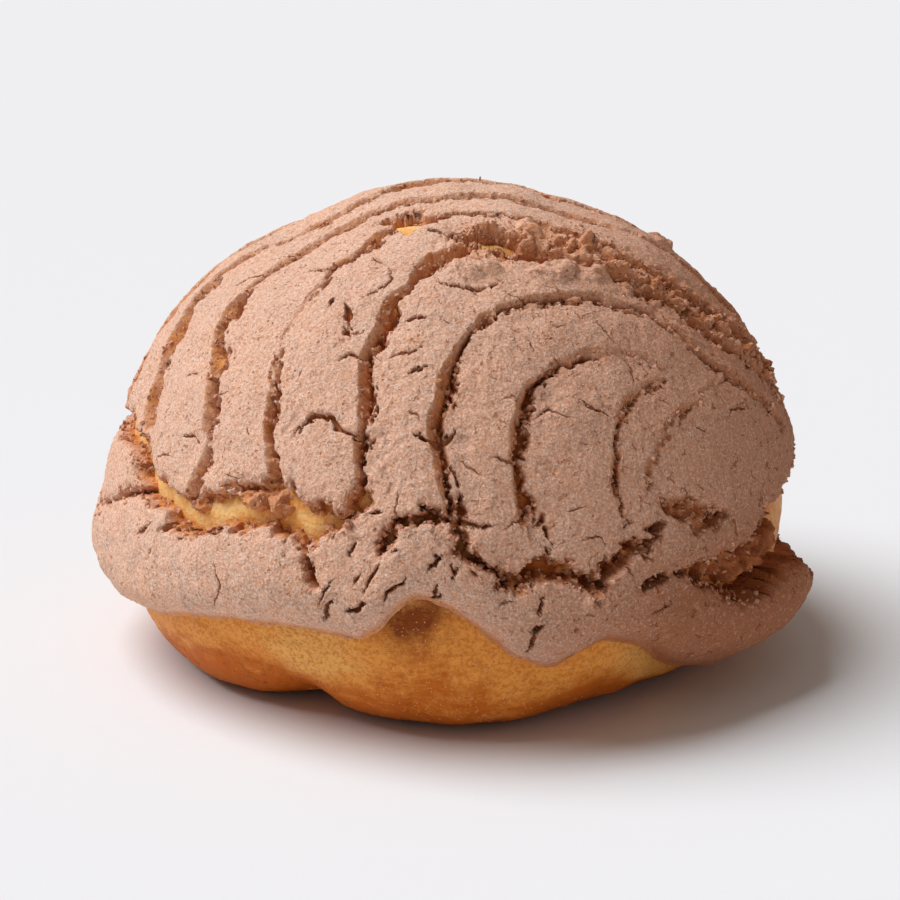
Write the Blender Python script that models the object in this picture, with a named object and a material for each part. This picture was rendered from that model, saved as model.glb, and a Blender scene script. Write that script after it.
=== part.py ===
"""A concha: a round sweet bun under a crust of sugar paste with curved grooves and the cracks of baking.

It stands on its flat base at z = 0, with its front towards -Y and the origin below the middle of its outline. A
place on the dome is given by its longitude, in degrees from the front towards +X, and by its polar angle, in
degrees from the top, both seen from the dome's centre. The dome's map lays these out flat: a point lies its
polar angle away from the map's centre, with +X to the right and the front at the bottom.
"""

import math
import random

import bmesh
import bpy
from mathutils import Matrix, Vector

# Driving dimensions, in millimetres.
MM = 0.001
CENTRE_HEIGHT = 17.5
DOME_CENTRE = (0.327, 2.312)
BUN_RADIUS = 50.0
CRUST_THICKNESS = 3.2
CRUST_GAP = 0.3
BACK_FLATTENING = 4.5

# The band of crust above the edge is thicker: by how much, how far above the edge, and its half-width.
BAND_EXTRA = 1.6
BAND_RISE = 6.0
BAND_HALF_WIDTH = 9.0

# The right flap stands off the dough: by how much, where, how far above the edge, and its half-widths.
FLARE = 3.4
FLARE_LONGITUDE = 68.0
FLARE_RISE = 9.0
FLARE_HALF_WIDTHS = (20.0, 9.0)

# The grid that the solids share: columns round the dome, and rows from its top to the crust's edge and on to
# the base. Only every second row carries on into the crust's inside and the dough under it. The columns stand
# closer together at the front, whose edge is the most uneven.
COLUMNS = 64
FRONT_CROWDING = 20.0
DOME_ROWS = 16
LOWER_ROWS = 7
EDGE_ROWS = 3

# How far the base reaches out, in mm, by longitude: lobes of dough with creases between them.
BASE_OUTLINE = (
    (-90, 40), (-54, 40.5), (-42, 37), (-32, 31), (-23, 34.5), (-12, 37), (3, 37.5), (15, 37), (28, 33.5),
    (42, 33), (58, 35), (76, 38.5), (100, 39.5), (128, 39), (146, 34), (162, 37.5), (186, 38.5),
    (206, 37.5), (220, 33), (236, 38),
)

# Soft swellings and hollows of the dough: longitude, polar angle, two half-widths in degrees, height in mm.
DOUGH_FORMS = (
    ("front lobe", 4.0, 104.0, 17.0, 11.0, 1.8),
    ("peak under the arch", -5.0, 87.0, 8.0, 8.0, 1.5),
    ("crease left of the lobe", -29.0, 108.0, 5.0, 9.0, -1.4),
    ("hollow under the right flap", 44.0, 101.0, 12.0, 9.0, -1.6),
    ("right shoulder", 86.0, 60.0, 40.0, 22.0, 1.7),
    ("left shoulder", -88.0, 48.0, 38.0, 15.0, 1.2),
    ("right hollow", 90.0, 90.0, 20.0, 8.0, -1.8),
    ("right lobe", 96.0, 104.0, 22.0, 9.0, 0.6),
    ("back crease", 148.0, 112.0, 8.0, 12.0, -2.0),
    ("back lobe", 178.0, 104.0, 20.0, 11.0, 1.4),
    ("back left crease", -142.0, 112.0, 7.0, 12.0, -2.0),
)

# The polar angle of the crust's lower edge, by longitude: it hangs in flaps and arches over the dough.
EDGE_OUTLINE = (
    (-90, 93.5), (-68, 92), (-54, 92), (-38, 89.2), (-22, 88), (-14, 87.5), (-8, 83), (-3, 81),
    (2, 83.5), (8, 88.5), (14, 91), (22, 89), (29, 89.5), (37, 95.5), (46, 99.3), (58, 101),
    (74, 102.5), (96, 103), (124, 97), (150, 97), (172, 90), (188, 89), (210, 96), (240, 94.5),
)

# Each groove of the stamp: its width and depth in mm, and its map positions from the right side over the dome
# and down the front, each with its strength there. They fan out from the right like the ribs of a shell.
GROOVES = (
    ("front right", 2.2, 1.4, (
        (48, -30, 0.3), (46, -35, 0.6), (41, -43, 0.6), (38.5, -50, 0.8), (37.6, -57, 0.9))),
    ("faint rib", 2.0, 1.5, (
        (37, -39, 0.4), (32.5, -44, 0.9), (30.5, -51, 1), (31.5, -59, 1), (34, -64, 0.5))),
    ("third rib", 2.4, 2.4, (
        (34, -37, 0.2), (25, -40.5, 0.3), (17.5, -45.5, 0.8), (13.3, -52, 1), (12.4, -60, 1), (15, -69, 1))),
    ("second rib", 2.9, 2.6, (
        (66, -17, 0.4), (50, -27, 0.5), (32, -28, 0.35), (15, -33.5, 0.5), (5, -40, 1), (0.5, -49, 1),
        (-1.8, -58, 1), (0.6, -70, 1))),
    ("first rib", 2.8, 2.6, (
        (66, -8, 0.6), (50, -20, 0.9), (33, -22, 1), (17, -22.5, 0.8), (2, -24, 0.9), (-6, -31.5, 1),
        (-12.5, -42, 1), (-14.7, -53, 1), (-16, -62, 1), (-18, -67, 0.9))),
    ("crown rib", 2.3, 2.3, (
        (67, -1, 0.6), (52, -12, 0.9), (34, -16, 1), (16, -13, 0.8), (-3, -14, 0.5), (-14, -20.5, 1),
        (-23, -28, 0.3), (-28.5, -36, 0.4), (-31.5, -46, 1), (-33.6, -58, 1))),
    ("left rib", 2.8, 2.5, (
        (66, 4, 0.6), (48, -1, 0.8), (28, -4, 0.6), (8, -4.5, 0.5), (-12, -7.5, 0.6), (-27, -13.5, 0.6),
        (-38, -21.5, 1), (-42.5, -33, 1), (-46.5, -45, 0.8), (-54, -50, 0.7))),
    ("outer left rib", 2.6, 2.4, (
        (68, 9, 0.6), (50, 9, 0.9), (26, 9, 0.8), (2, 6.5, 0.8), (-20, -2, 0.8), (-38, -5, 0.9),
        (-50, -13, 1), (-61, -25, 0.8))),
    ("first back rib", 2.6, 2.5, (
        (68, 15, 0.6), (48, 20, 1), (24, 22, 1), (0, 20, 1), (-24, 13, 1), (-46, 5, 1), (-66, -5, 1))),
    ("second back rib", 2.6, 2.5, (
        (66, 23, 0.6), (46, 32, 1), (20, 36, 1), (-8, 34, 1), (-34, 26, 1), (-56, 15, 1), (-70, 8, 0.8))),
    ("third back rib", 2.5, 2.4, (
        (62, 33, 0.6), (44, 43, 1), (18, 49, 1), (-10, 48, 1), (-36, 40, 1), (-58, 30, 1), (-67, 24, 0.8))),
    ("last back rib", 2.3, 2.2, (
        (52, 48, 0.6), (34, 57, 1), (10, 63, 1), (-14, 62, 1), (-34, 56, 1), (-52, 46, 0.8))),
)
GROOVE_STEP = 7.0
GROOVE_LEAST_WIDTH = 0.4
GROOVE_SLANT = 0.2
GROOVE_UNDERCUT = 0.95

# The rim fissures part the dome's plates from the band below them: map positions, with half-widths in mm.
FISSURES = (
    ("left", (
        (-70, -12, 0.6), (-65, -26, 1.3), (-63, -37, 1.6), (-60, -46, 2.2), (-54, -53, 2.6), (-47, -58, 2.8),
        (-40, -61.5, 3.2), (-34, -64, 3.3), (-28, -68, 2.6), (-23, -69, 1.7), (-18, -67.5, 0.7))),
    ("left branch", ((-65, -36, 0.8), (-74, -27, 0.5), (-83, -11, 0.4))),
    ("left spur", ((-29.5, -68, 1.0), (-29, -73, 0.8), (-28.5, -76.5, 0.4))),
    ("front", (
        (-13, -74, 0.5), (-9.5, -71, 0.8), (-3, -70.5, 1.3), (1, -72.5, 0.8), (5, -77.5, 0.8),
        (12, -78.5, 1.3), (20, -75.8, 1.4), (29, -76, 0.8), (35, -72, 1.3), (40, -66, 1.0),
        (42, -62.5, 0.4))),
    ("front spur", ((20, -75.5, 0.8), (19.5, -72, 0.8), (18, -69, 0.6))),
    ("right", (
        (44, -70, 0.4), (48, -66.5, 0.7), (54, -63.5, 1.1), (62, -59.5, 1.8), (70, -54, 3.0),
        (76, -44.5, 4.8), (81.5, -33, 6.2), (86.5, -17, 7.2), (88.3, -2, 7.3), (87.5, 14, 6.4),
        (82, 30, 4.6), (74.5, 43, 2.6), (68, 51, 0.9))),
    ("back right", ((52, 60, 0.7), (44, 65, 2.0), (34, 69, 2.6), (25, 72, 1.8), (18, 73, 0.6))),
    ("back left", (
        (-20, 72, 0.7), (-34, 68, 2.4), (-48, 60, 3.2), (-60, 46, 2.8), (-68, 33, 1.6), (-73, 22, 0.6))),
)

# Cracks across the plates and down the band: map positions, with the half-width in mm at the widest.
CRACKS = (
    ("across the first strip", ((-29, -52.5), (-23, -52), (-19.5, -55), (-15.7, -57.5)), 0.8),
    ("opening at the right", ((41, -58), (46, -55.5), (51, -54.5), (56, -50.5)), 1.2),
    ("under the flake", ((-2, -31), (1, -32.8), (5, -33), (7.8, -30.5)), 0.8),
    ("hole in the first strip", ((-17, -32.5), (-16.6, -36)), 0.8),
    ("hole in the second rib", ((-6, -57.8), (-3, -59.2)), 0.9),
    ("across the second strip", ((-10, -44.7), (-7.3, -44.4), (-4.5, -43.8)), 0.5),
    ("on the crown", ((-9, -13), (-5, -14.5), (-2, -13.5)), 1.0),
    ("orange gap", ((5, -22), (9, -24.5), (14, -23)), 0.9),
    ("left of the arch", ((-27.5, -82), (-26, -79), (-24.5, -77)), 0.6),
    ("second left of the arch", ((-21.5, -81.8), (-18, -80), (-15, -77)), 0.6),
    ("over the arch", ((-12.8, -80.6), (-9, -78.4)), 0.6),
    ("right of the arch", ((-3, -79), (-1.8, -76.6)), 0.5),
    ("band front", ((18.3, -89), (19, -85.5), (20, -81)), 0.7),
    ("band left", ((-52, -70), (-50.5, -67.5), (-49.3, -65)), 0.4),
    ("back of the crown", ((-14, 26), (-6, 28), (3, 27)), 0.9),
    ("back plate left", ((-40, 33), (-33, 36), (-27, 33)), 0.9),
    ("back plate right", ((22, 42), (30, 40), (36, 42)), 0.9),
    ("band behind left", ((-62, 58), (-66, 61), (-68, 66)), 0.7),
    ("band behind right", ((58, 62), (60, 66), (64, 69)), 0.7),
)
CRACK_STEP = 3.4
CRACK_END = 0.35
CRACK_SWAY = 0.25
MOST_SWAY = 0.5
CUT_MARGIN = 1.5
FLAT_ENOUGH = 1.5

# Crags and crumbs that stand up where the paste broke: map position, sizes across and height in mm.
CRAGS = (
    ("flake", 2.5, -28.5, 10.0, 5.5, 1.9),
    ("crown lump", 5.0, -18.6, 5.0, 4.6, 2.4),
    ("second crown lump", 11.0, -20.0, 6.0, 4.2, 2.3),
    ("lump by the hole", 12.5, -15.5, 4.0, 4.0, 1.9),
    ("ledge", 17.0, -24.6, 7.0, 4.2, 2.2),
    ("second ledge", 23.5, -23.0, 5.4, 4.4, 2.2),
    ("crumb", 22.0, -17.4, 4.8, 4.2, 2.9),
    ("second crumb", 27.0, -20.0, 4.2, 4.2, 2.2),
    ("third crumb", 33.5, -20.0, 5.0, 4.2, 2.6),
    ("fourth crumb", 39.0, -18.4, 4.2, 3.8, 2.1),
    ("skyline crumb", 41.0, 3.0, 6.0, 5.2, 3.0),
    ("fifth crumb", 46.0, -17.6, 4.4, 3.6, 2.0),
    ("low crumb", 31.5, -78.5, 4.4, 3.8, 1.8),
    ("back crumb", -6.0, 24.0, 4.6, 4.2, 2.2),
    ("second back crumb", 14.0, 27.0, 5.0, 4.0, 2.1),
)
CRAG_SINK = 0.8
CRAG_ROUGHNESS = 0.15

CRUST_LOOK = ("sugar paste", (0.60, 0.37, 0.27, 1.0), 0.9)
DOUGH_LOOK = ("golden dough", (0.62, 0.30, 0.08, 1.0), 0.55)


def clear_scene():
    for obj in list(bpy.data.objects):
        bpy.data.objects.remove(obj)


def material(name, colour, roughness):
    made = bpy.data.materials.new(name)
    made.use_nodes = True
    shader = made.node_tree.nodes["Principled BSDF"]
    shader.inputs["Base Color"].default_value = colour
    shader.inputs["Roughness"].default_value = roughness
    shader.inputs["Metallic"].default_value = 0.0
    return made


def bell(distance, half_width):
    """A soft bump: 1 in the middle and nearly 0 at twice the half-width."""
    return math.exp(-((distance / half_width) ** 2))


def turn_between(a, b):
    """The smaller turn from longitude b to longitude a, in degrees."""
    return (a - b + 180.0) % 360.0 - 180.0


def from_map(u, v):
    return math.degrees(math.atan2(u, -v)), math.hypot(u, v)


def direction(longitude, polar):
    turn, tilt = math.radians(longitude), math.radians(polar)
    return Vector((math.sin(turn) * math.sin(tilt), -math.cos(turn) * math.sin(tilt), math.cos(tilt)))


def spline(a, b, c, d, t):
    """The value at t between b and c of the smooth curve that also runs through a and d."""
    return 0.5 * (2 * b + (c - a) * t + (2 * a - 5 * b + 4 * c - d) * t**2 + (3 * b - a - 3 * c + d) * t**3)


def round_curve(outline, longitude):
    """The value of a smooth closed curve through pairs of longitude and value."""
    turn = (longitude - outline[0][0]) % 360.0
    ends = [((at - outline[0][0]) % 360.0, value) for at, value in outline]
    last = max(i for i, (at, _) in enumerate(ends) if at <= turn)
    count = len(ends)
    a, b, c, d = (ends[(last + k) % count][1] for k in (-1, 0, 1, 2))
    after = ends[last + 1][0] if last + 1 < count else 360.0
    return spline(a, b, c, d, (turn - ends[last][0]) / (after - ends[last][0]))


def unevenness(longitude, polar):
    """A slow rise and fall of the whole dome, in mm, which leaves its top smooth."""
    turn, share = math.radians(longitude), min(1.0, polar / 60.0)
    waves = 0.4 * math.cos(3 * turn - 1.1) + 0.25 * math.cos(5 * turn + 2.0)
    return share * (waves - BACK_FLATTENING * ((1 - math.cos(turn)) / 2) ** 3)


def smooth_radius(longitude, polar):
    """From the dome's centre to a ball above the widest line and to a rounded foot below it, in mm."""
    drop = math.radians(polar - 90.0)
    if drop <= 0.0:
        return BUN_RADIUS
    base = round_curve(BASE_OUTLINE, longitude)
    out, down, bulge = math.cos(drop), math.sin(drop), BUN_RADIUS - base
    square = (out / bulge) ** 2 + (down / CENTRE_HEIGHT) ** 2
    half = out * base / bulge**2
    rest = (base / bulge) ** 2 - 1.0
    foot = (half + math.sqrt(max(0.0, half**2 - square * rest))) / square
    return min(foot, CENTRE_HEIGHT / down)


def bun_radius(longitude, polar):
    radius = smooth_radius(longitude, polar) + unevenness(longitude, polar)
    for _, at, height_at, wide, tall, rise in DOUGH_FORMS:
        radius += rise * bell(turn_between(longitude, at), wide) * bell(polar - height_at, tall)
    return radius


def edge_polar(longitude):
    return round_curve(EDGE_OUTLINE, longitude)


def flare(longitude, polar):
    """How far the right flap of the band stands off the dough, in mm."""
    wide, tall = FLARE_HALF_WIDTHS
    below = polar - (edge_polar(longitude) - FLARE_RISE)
    return FLARE * bell(turn_between(longitude, FLARE_LONGITUDE), wide) * bell(below, tall)


def crust_inside(longitude, polar):
    return bun_radius(longitude, polar) + CRUST_GAP + flare(longitude, polar)


def crust_outside(longitude, polar):
    """The crust is thickest in the band above its edge."""
    band = BAND_EXTRA * bell(polar - (edge_polar(longitude) - BAND_RISE), BAND_HALF_WIDTH)
    return crust_inside(longitude, polar) + CRUST_THICKNESS + band


def place(longitude, polar, radius):
    point = direction(longitude, polar) * radius
    return (point + Vector((*DOME_CENTRE, CENTRE_HEIGHT))) * MM


def longitudes():
    turns = [360.0 * column / COLUMNS for column in range(COLUMNS)]
    return [turn - FRONT_CROWDING * math.sin(math.radians(turn)) for turn in turns]


def dome_polars(longitude):
    edge = edge_polar(longitude)
    return [edge * (row + 1) / DOME_ROWS for row in range(DOME_ROWS)]


def skin(name, rings, first_pole, last_pole):
    """A closed mesh through rings of points, which all run the same way round, from one pole to the other."""
    bm = bmesh.new()
    top = bm.verts.new(first_pole)
    loops = [[bm.verts.new(point) for point in ring] for ring in rings]
    bottom = bm.verts.new(last_pole)
    count = len(loops[0])
    for column in range(count):
        after = (column + 1) % count
        bm.faces.new((top, loops[0][column], loops[0][after]))
        for upper, lower in zip(loops, loops[1:]):
            bm.faces.new((upper[column], lower[column], lower[after], upper[after]))
        bm.faces.new((bottom, loops[-1][after], loops[-1][column]))
    bmesh.ops.triangulate(bm, faces=bm.faces)
    bmesh.ops.recalc_face_normals(bm, faces=bm.faces)
    mesh = bpy.data.meshes.new(name)
    bm.to_mesh(mesh)
    bm.free()
    mesh.shade_smooth()
    return mesh


def add(name, mesh, look):
    obj = bpy.data.objects.new(name, mesh)
    bpy.context.scene.collection.objects.link(obj)
    mesh.materials.append(look)
    return obj


def make_bun(look):
    """The dough: the ball under the crust, the bare side below it and the flat base."""
    around = longitudes()
    rings = [
        [place(a, dome_polars(a)[row], bun_radius(a, dome_polars(a)[row])) for a in around]
        for row in range(1, DOME_ROWS, 2)
    ]
    for row in range(1, LOWER_ROWS + 1):
        ring = []
        for a in around:
            edge = edge_polar(a)
            foot = 180.0 - math.degrees(math.atan2(round_curve(BASE_OUTLINE, a), CENTRE_HEIGHT))
            polar = edge + (foot - edge) * row / LOWER_ROWS
            ring.append(place(a, polar, bun_radius(a, polar)))
        rings.append(ring)
    for point in rings[-1]:
        point.z = 0.0
    middle = Vector((*DOME_CENTRE, 0.0)) * MM
    return add("bun", skin("bun", rings, place(0, 0, bun_radius(0, 0)), middle), look)


def make_crust_blank(look):
    """The sheet of paste before its cuts: out over the dome, round its rolled edge and back inside."""
    around = longitudes()
    polars = [dome_polars(a) for a in around]
    outer = [
        [place(a, p[row], crust_outside(a, p[row])) for a, p in zip(around, polars)]
        for row in range(DOME_ROWS)
    ]
    inner = [
        [place(a, p[row], crust_inside(a, p[row])) for a, p in zip(around, polars)]
        for row in range(DOME_ROWS - 1, 0, -2)
    ]
    rolled = []
    for step in range(1, EDGE_ROWS):
        turn = math.pi * step / EDGE_ROWS
        ring = []
        for a, p in zip(around, polars):
            low, high = crust_inside(a, p[-1]), crust_outside(a, p[-1])
            radius = (low + high) / 2 + (high - low) / 2 * math.cos(turn)
            sag = math.degrees((high - low) / 2 * math.sin(turn) / high)
            ring.append(place(a, p[-1] + sag, radius))
        rolled.append(ring)
    top, under = place(0, 0, crust_outside(0, 0)), place(0, 0, crust_inside(0, 0))
    return add("topping", skin("topping", outer + rolled + inner, top, under), look)


def make_crag(name, u, v, wide, deep, height, rng, group):
    """A rough lump that is fused to the crust, sunk a little into it."""
    longitude, polar = from_map(u, v)
    bm = bmesh.new()
    bmesh.ops.create_icosphere(bm, subdivisions=1, radius=0.5)
    for vert in bm.verts:
        vert.co *= 1 + rng.uniform(-CRAG_ROUGHNESS, CRAG_ROUGHNESS)
        vert.co = Vector((vert.co.x * wide, vert.co.y * deep, vert.co.z * 2 * height)) * MM
    up = direction(longitude, polar)
    turn = up.to_track_quat("Z", "Y").to_matrix().to_4x4()
    centre = place(longitude, polar, crust_outside(longitude, polar) - CRAG_SINK)
    bmesh.ops.transform(bm, matrix=Matrix.Translation(centre) @ turn, verts=bm.verts)
    mesh = bpy.data.meshes.new(name)
    bm.to_mesh(mesh)
    bm.free()
    return add_helper(name, mesh, group)


def add_helper(name, mesh, group):
    """An object that only a Boolean uses."""
    obj = bpy.data.objects.new(name, mesh)
    group.objects.link(obj)
    obj.hide_render = True
    obj.display_type = "WIRE"
    return obj


def smooth_path(points, step):
    """Points about one step apart on a smooth curve through tuples that begin with a map position."""
    path = []
    for i in range(len(points) - 1):
        before = points[max(i - 1, 0)]
        here, there = points[i], points[i + 1]
        after = points[min(i + 2, len(points) - 1)]
        count = max(1, round(math.dist(here[:2], there[:2]) / step))
        for k in range(count):
            t = k / count
            path.append(tuple(spline(*values, t) for values in zip(before, here, there, after)))
    path.append(tuple(points[-1]))
    return path


def cutter(name, path, depth, group):
    """A closed wedge along map positions with a half-width each. It goes right through, or to a depth in mm.

    A groove's wedge has its steep side on the outer side of its curve.
    """
    bm = bmesh.new()
    sections = []
    for i, (u, v, half, strength) in enumerate(path):
        longitude, polar = from_map(u, v)
        outside = crust_outside(longitude, polar)
        through = bun_radius(longitude, polar) - CUT_MARGIN
        floor = through if depth is None else outside - depth * strength
        before, after = path[max(i - 1, 0)], path[min(i + 1, len(path) - 1)]
        ahead = place(*from_map(*after[:2]), BUN_RADIUS) - place(*from_map(*before[:2]), BUN_RADIUS)
        side = direction(longitude, polar).cross(ahead).normalized() * half * MM
        low, high = place(longitude, polar, floor), place(longitude, polar, outside + CUT_MARGIN)
        slant = 1.0 if depth is None else GROOVE_SLANT
        corners = (low - side * GROOVE_UNDERCUT, low + side * slant, high + side, high - side)
        sections.append([bm.verts.new(corner) for corner in corners])
    for first, second in zip(sections, sections[1:]):
        for k in range(4):
            n = (k + 1) % 4
            bm.faces.new((first[k], first[n], second[n], second[k]))
    bm.faces.new(sections[0][::-1])
    bm.faces.new(sections[-1])
    bmesh.ops.triangulate(bm, faces=bm.faces)
    bmesh.ops.recalc_face_normals(bm, faces=bm.faces)
    mesh = bpy.data.meshes.new(name)
    bm.to_mesh(mesh)
    bm.free()
    return add_helper(name, mesh, group)


def groove_path(points, width):
    """A groove's width follows its strength at each point."""
    path = smooth_path(points, GROOVE_STEP)
    return [(u, v, width / 2 * (GROOVE_LEAST_WIDTH + (1 - GROOVE_LEAST_WIDTH) * k), k) for u, v, k in path]


def ragged(path, rng):
    """Makes a crack's edges uneven: it wanders to each side, and its width changes from step to step."""
    done = []
    for u, v, half in path:
        sway = min(CRACK_SWAY * half, MOST_SWAY)
        half += rng.uniform(-sway, sway)
        done.append((u + rng.uniform(-sway, sway), v + rng.uniform(-sway, sway), half, 1.0))
    return done


def crack_path(points, half):
    """A crack is widest in its middle and closes at both ends."""
    path = smooth_path(points, CRACK_STEP)
    last = max(1, len(path) - 1)
    shares = [CRACK_END + (1 - CRACK_END) * math.sin(math.pi * k / last) for k in range(len(path))]
    return [(u, v, half * share) for (u, v), share in zip(path, shares)]


def boolean(crust, group, operation):
    modifier = crust.modifiers.new(group.name, "BOOLEAN")
    modifier.operation = operation
    modifier.operand_type = "COLLECTION"
    modifier.collection = group
    modifier.solver = "EXACT"


def settle(crust):
    """Applies the Booleans, drops the scraps that they left loose and merges faces that are flat together."""
    depsgraph = bpy.context.evaluated_depsgraph_get()
    mesh = bpy.data.meshes.new_from_object(crust.evaluated_get(depsgraph))
    for modifier in list(crust.modifiers):
        for tool in list(modifier.collection.objects):
            bpy.data.objects.remove(tool)
        bpy.data.collections.remove(modifier.collection)
    crust.modifiers.clear()
    bm = bmesh.new()
    bm.from_mesh(mesh)
    bodies, seen = [], set()
    for start in bm.verts:
        if start in seen:
            continue
        seen.add(start)
        body = [start]
        for vert in body:
            for edge in vert.link_edges:
                other = edge.other_vert(vert)
                if other not in seen:
                    seen.add(other)
                    body.append(other)
        bodies.append(body)
    bodies.sort(key=len)
    scraps = [vert for body in bodies[:-1] for vert in body]
    bmesh.ops.delete(bm, geom=scraps, context="VERTS")
    bmesh.ops.dissolve_limit(bm, angle_limit=math.radians(FLAT_ENOUGH), verts=bm.verts, edges=bm.edges)
    bmesh.ops.triangulate(bm, faces=bm.faces)
    bm.to_mesh(mesh)
    bm.free()
    crust.data = mesh


def helper_group(name):
    group = bpy.data.collections.new(name)
    bpy.context.scene.collection.children.link(group)
    group.hide_render = True
    return group


def add_crags(crust):
    group, rng = helper_group("crags"), random.Random(11)
    for name, *sizes in CRAGS:
        make_crag(f"crag {name}", *sizes, rng, group)
    boolean(crust, group, "UNION")


def cut_crust(crust):
    group, rng = helper_group("cuts"), random.Random(7)
    for name, width, depth, points in GROOVES:
        cutter(f"groove {name}", groove_path(points, width), depth, group)
    for name, points in FISSURES:
        cutter(f"fissure {name}", ragged(smooth_path(points, CRACK_STEP), rng), None, group)
    for name, points, half in CRACKS:
        cutter(f"crack {name}", ragged(crack_path(points, half), rng), None, group)
    boolean(crust, group, "DIFFERENCE")


def main():
    clear_scene()
    make_bun(material(*DOUGH_LOOK))
    crust = make_crust_blank(material(*CRUST_LOOK))
    add_crags(crust)
    cut_crust(crust)
    settle(crust)


main()
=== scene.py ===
"""Dresses the concha: baked dough, the cracked crust of sugar paste over it, and crumbs and grains of sugar.

Places on the bun are given as in its source: by a longitude in degrees from the front towards +X and a polar
angle in degrees from the top, both seen from the dome's centre, or by a position on the dome's map. The map
lays these out flat: a point lies its polar angle away from the map's middle, with +X to the right and the
front at the bottom. Lengths in the shape functions are in millimetres.
"""

import math

import bpy
import numpy as np
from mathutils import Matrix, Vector


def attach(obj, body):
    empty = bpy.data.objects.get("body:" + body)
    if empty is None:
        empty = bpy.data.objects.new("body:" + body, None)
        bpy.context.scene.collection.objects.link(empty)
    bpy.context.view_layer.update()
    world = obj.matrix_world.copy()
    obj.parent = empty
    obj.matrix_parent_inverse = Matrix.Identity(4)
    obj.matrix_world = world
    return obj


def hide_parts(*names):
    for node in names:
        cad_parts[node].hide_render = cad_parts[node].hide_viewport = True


bl_info = {
    "name": "Concha sweet bun",
    "version": (1, 0, 0),
    "blender": (4, 5, 0),
    "location": "View3D > Sidebar > Concha",
    "description": "Makes a concha's dough, its cracked sugar crust and the sugar on it",
    "category": "Object",
}

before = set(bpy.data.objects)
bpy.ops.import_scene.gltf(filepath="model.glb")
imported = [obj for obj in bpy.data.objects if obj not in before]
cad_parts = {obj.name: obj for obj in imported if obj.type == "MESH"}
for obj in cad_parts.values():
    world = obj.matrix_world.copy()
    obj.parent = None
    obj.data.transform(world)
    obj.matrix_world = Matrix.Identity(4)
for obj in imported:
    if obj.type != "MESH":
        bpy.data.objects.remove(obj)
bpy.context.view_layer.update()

MM = 0.001
CENTRE_HEIGHT = 17.5
DOME_CENTRE = (0.327, 2.312)
BUN_RADIUS = 50.0
CRUST_RADIUS = 53.0
BACK_FLATTENING = 4.5
CRUST_GAP = 0.3

# The band of crust above the edge is thicker, and the right flap of it stands off the dough.
BAND_EXTRA = 1.6
BAND_RISE = 6.0
BAND_HALF_WIDTH = 9.0
FLARE = 3.0
FLARE_LONGITUDE = 68.0
FLARE_RISE = 9.0
FLARE_HALF_WIDTHS = (20.0, 9.0)

# The camera looks down on the bun from the front, from this far off, at a height on the dome's axis.
CAMERA_TILT = 17.0
CAMERA_DISTANCE = 450.0
TARGET_HEIGHT = 29.4
LENS = 116.5
SENSOR = 36.0

# The stage: half the floor's side in metres and its tint, the light from all around, and the key light with
# its angular size in degrees and the direction that it comes from.
FLOOR_HALF = 6.0
FLOOR_TINT = (0.82, 0.82, 0.825, 1.0)
STUDIO_TINT = (1.0, 0.88, 0.78, 1.0)
STUDIO_STRENGTH = 0.26
KEY_TINT = (0.965, 1.0, 1.05)
KEY_STRENGTH = 3.1
KEY_SIZE = 46.0
KEY_FROM = (-0.53, 0.05, 0.85)

# The photo's middle in pixels, its pixels to a millimetre at the target, and the radius in mm that the marks
# seen in it lie at.
PHOTO_MIDDLE = 450.0
PHOTO_SCALE = 6.47
SEEN_RADIUS = 53.5


def seen(*places):
    """Turns places that begin with a pixel of the photo, read off it, into places on the dome's map."""
    tilt = math.radians(CAMERA_TILT)
    back = np.array((0.0, -math.cos(tilt), math.sin(tilt)))
    up = np.array((0.0, math.sin(tilt), math.cos(tilt)))
    eye = np.array((0.0, 0.0, TARGET_HEIGHT - CENTRE_HEIGHT)) + back * CAMERA_DISTANCE
    found = []
    for x, y, *values in places:
        ray = -back * PHOTO_SCALE * CAMERA_DISTANCE - up * (y - PHOTO_MIDDLE)
        ray[0] += x - PHOTO_MIDDLE
        ray /= np.linalg.norm(ray)
        ahead = -(eye @ ray)
        inside = max(SEEN_RADIUS**2 - (eye @ eye - ahead**2), 0.0)
        spot = eye + ray * (ahead - math.sqrt(inside))
        turn = math.atan2(spot[0], -spot[1])
        polar = math.degrees(math.acos(spot[2] / np.linalg.norm(spot)))
        found.append((round(polar * math.sin(turn), 1), round(-polar * math.cos(turn), 1), *values))
    return tuple(found)


# How far the base reaches out, in mm, by longitude: lobes of dough with creases between them.
BASE_OUTLINE = (
    (-90, 40), (-54, 40), (-42, 36), (-32, 29.8), (-23, 32.8), (-12, 35.2), (3, 35.7), (15, 35.2), (28, 31.9),
    (42, 31.8), (58, 34.5), (76, 38.5), (100, 39.5), (128, 39), (146, 34), (162, 37.5), (186, 38.5),
    (206, 37.5), (220, 33), (236, 38),
)

# Soft swellings and hollows of the dough: longitude, polar angle, two half-widths in degrees, height in mm.
DOUGH_FORMS = (
    (4.0, 104.0, 17.0, 11.0, 1.8), (-5.0, 87.0, 8.0, 8.0, 1.5), (-29.0, 108.0, 5.0, 9.0, -1.4),
    (44.0, 101.0, 12.0, 9.0, -1.6), (86.0, 62.0, 40.0, 24.0, 2.8), (-88.0, 48.0, 38.0, 15.0, 0.7),
    (90.0, 90.0, 20.0, 8.0, -0.4), (96.0, 104.0, 22.0, 9.0, 0.6), (148.0, 112.0, 8.0, 12.0, -2.0),
    (178.0, 104.0, 20.0, 11.0, 1.4), (-142.0, 112.0, 7.0, 12.0, -2.0), (-75.0, 24.0, 45.0, 14.0, -1.1),
    (80.0, 32.0, 45.0, 15.0, 1.1), (-90.0, 26.0, 45.0, 8.0, -0.6), (90.0, 21.0, 45.0, 7.0, -0.9),
)

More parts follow.
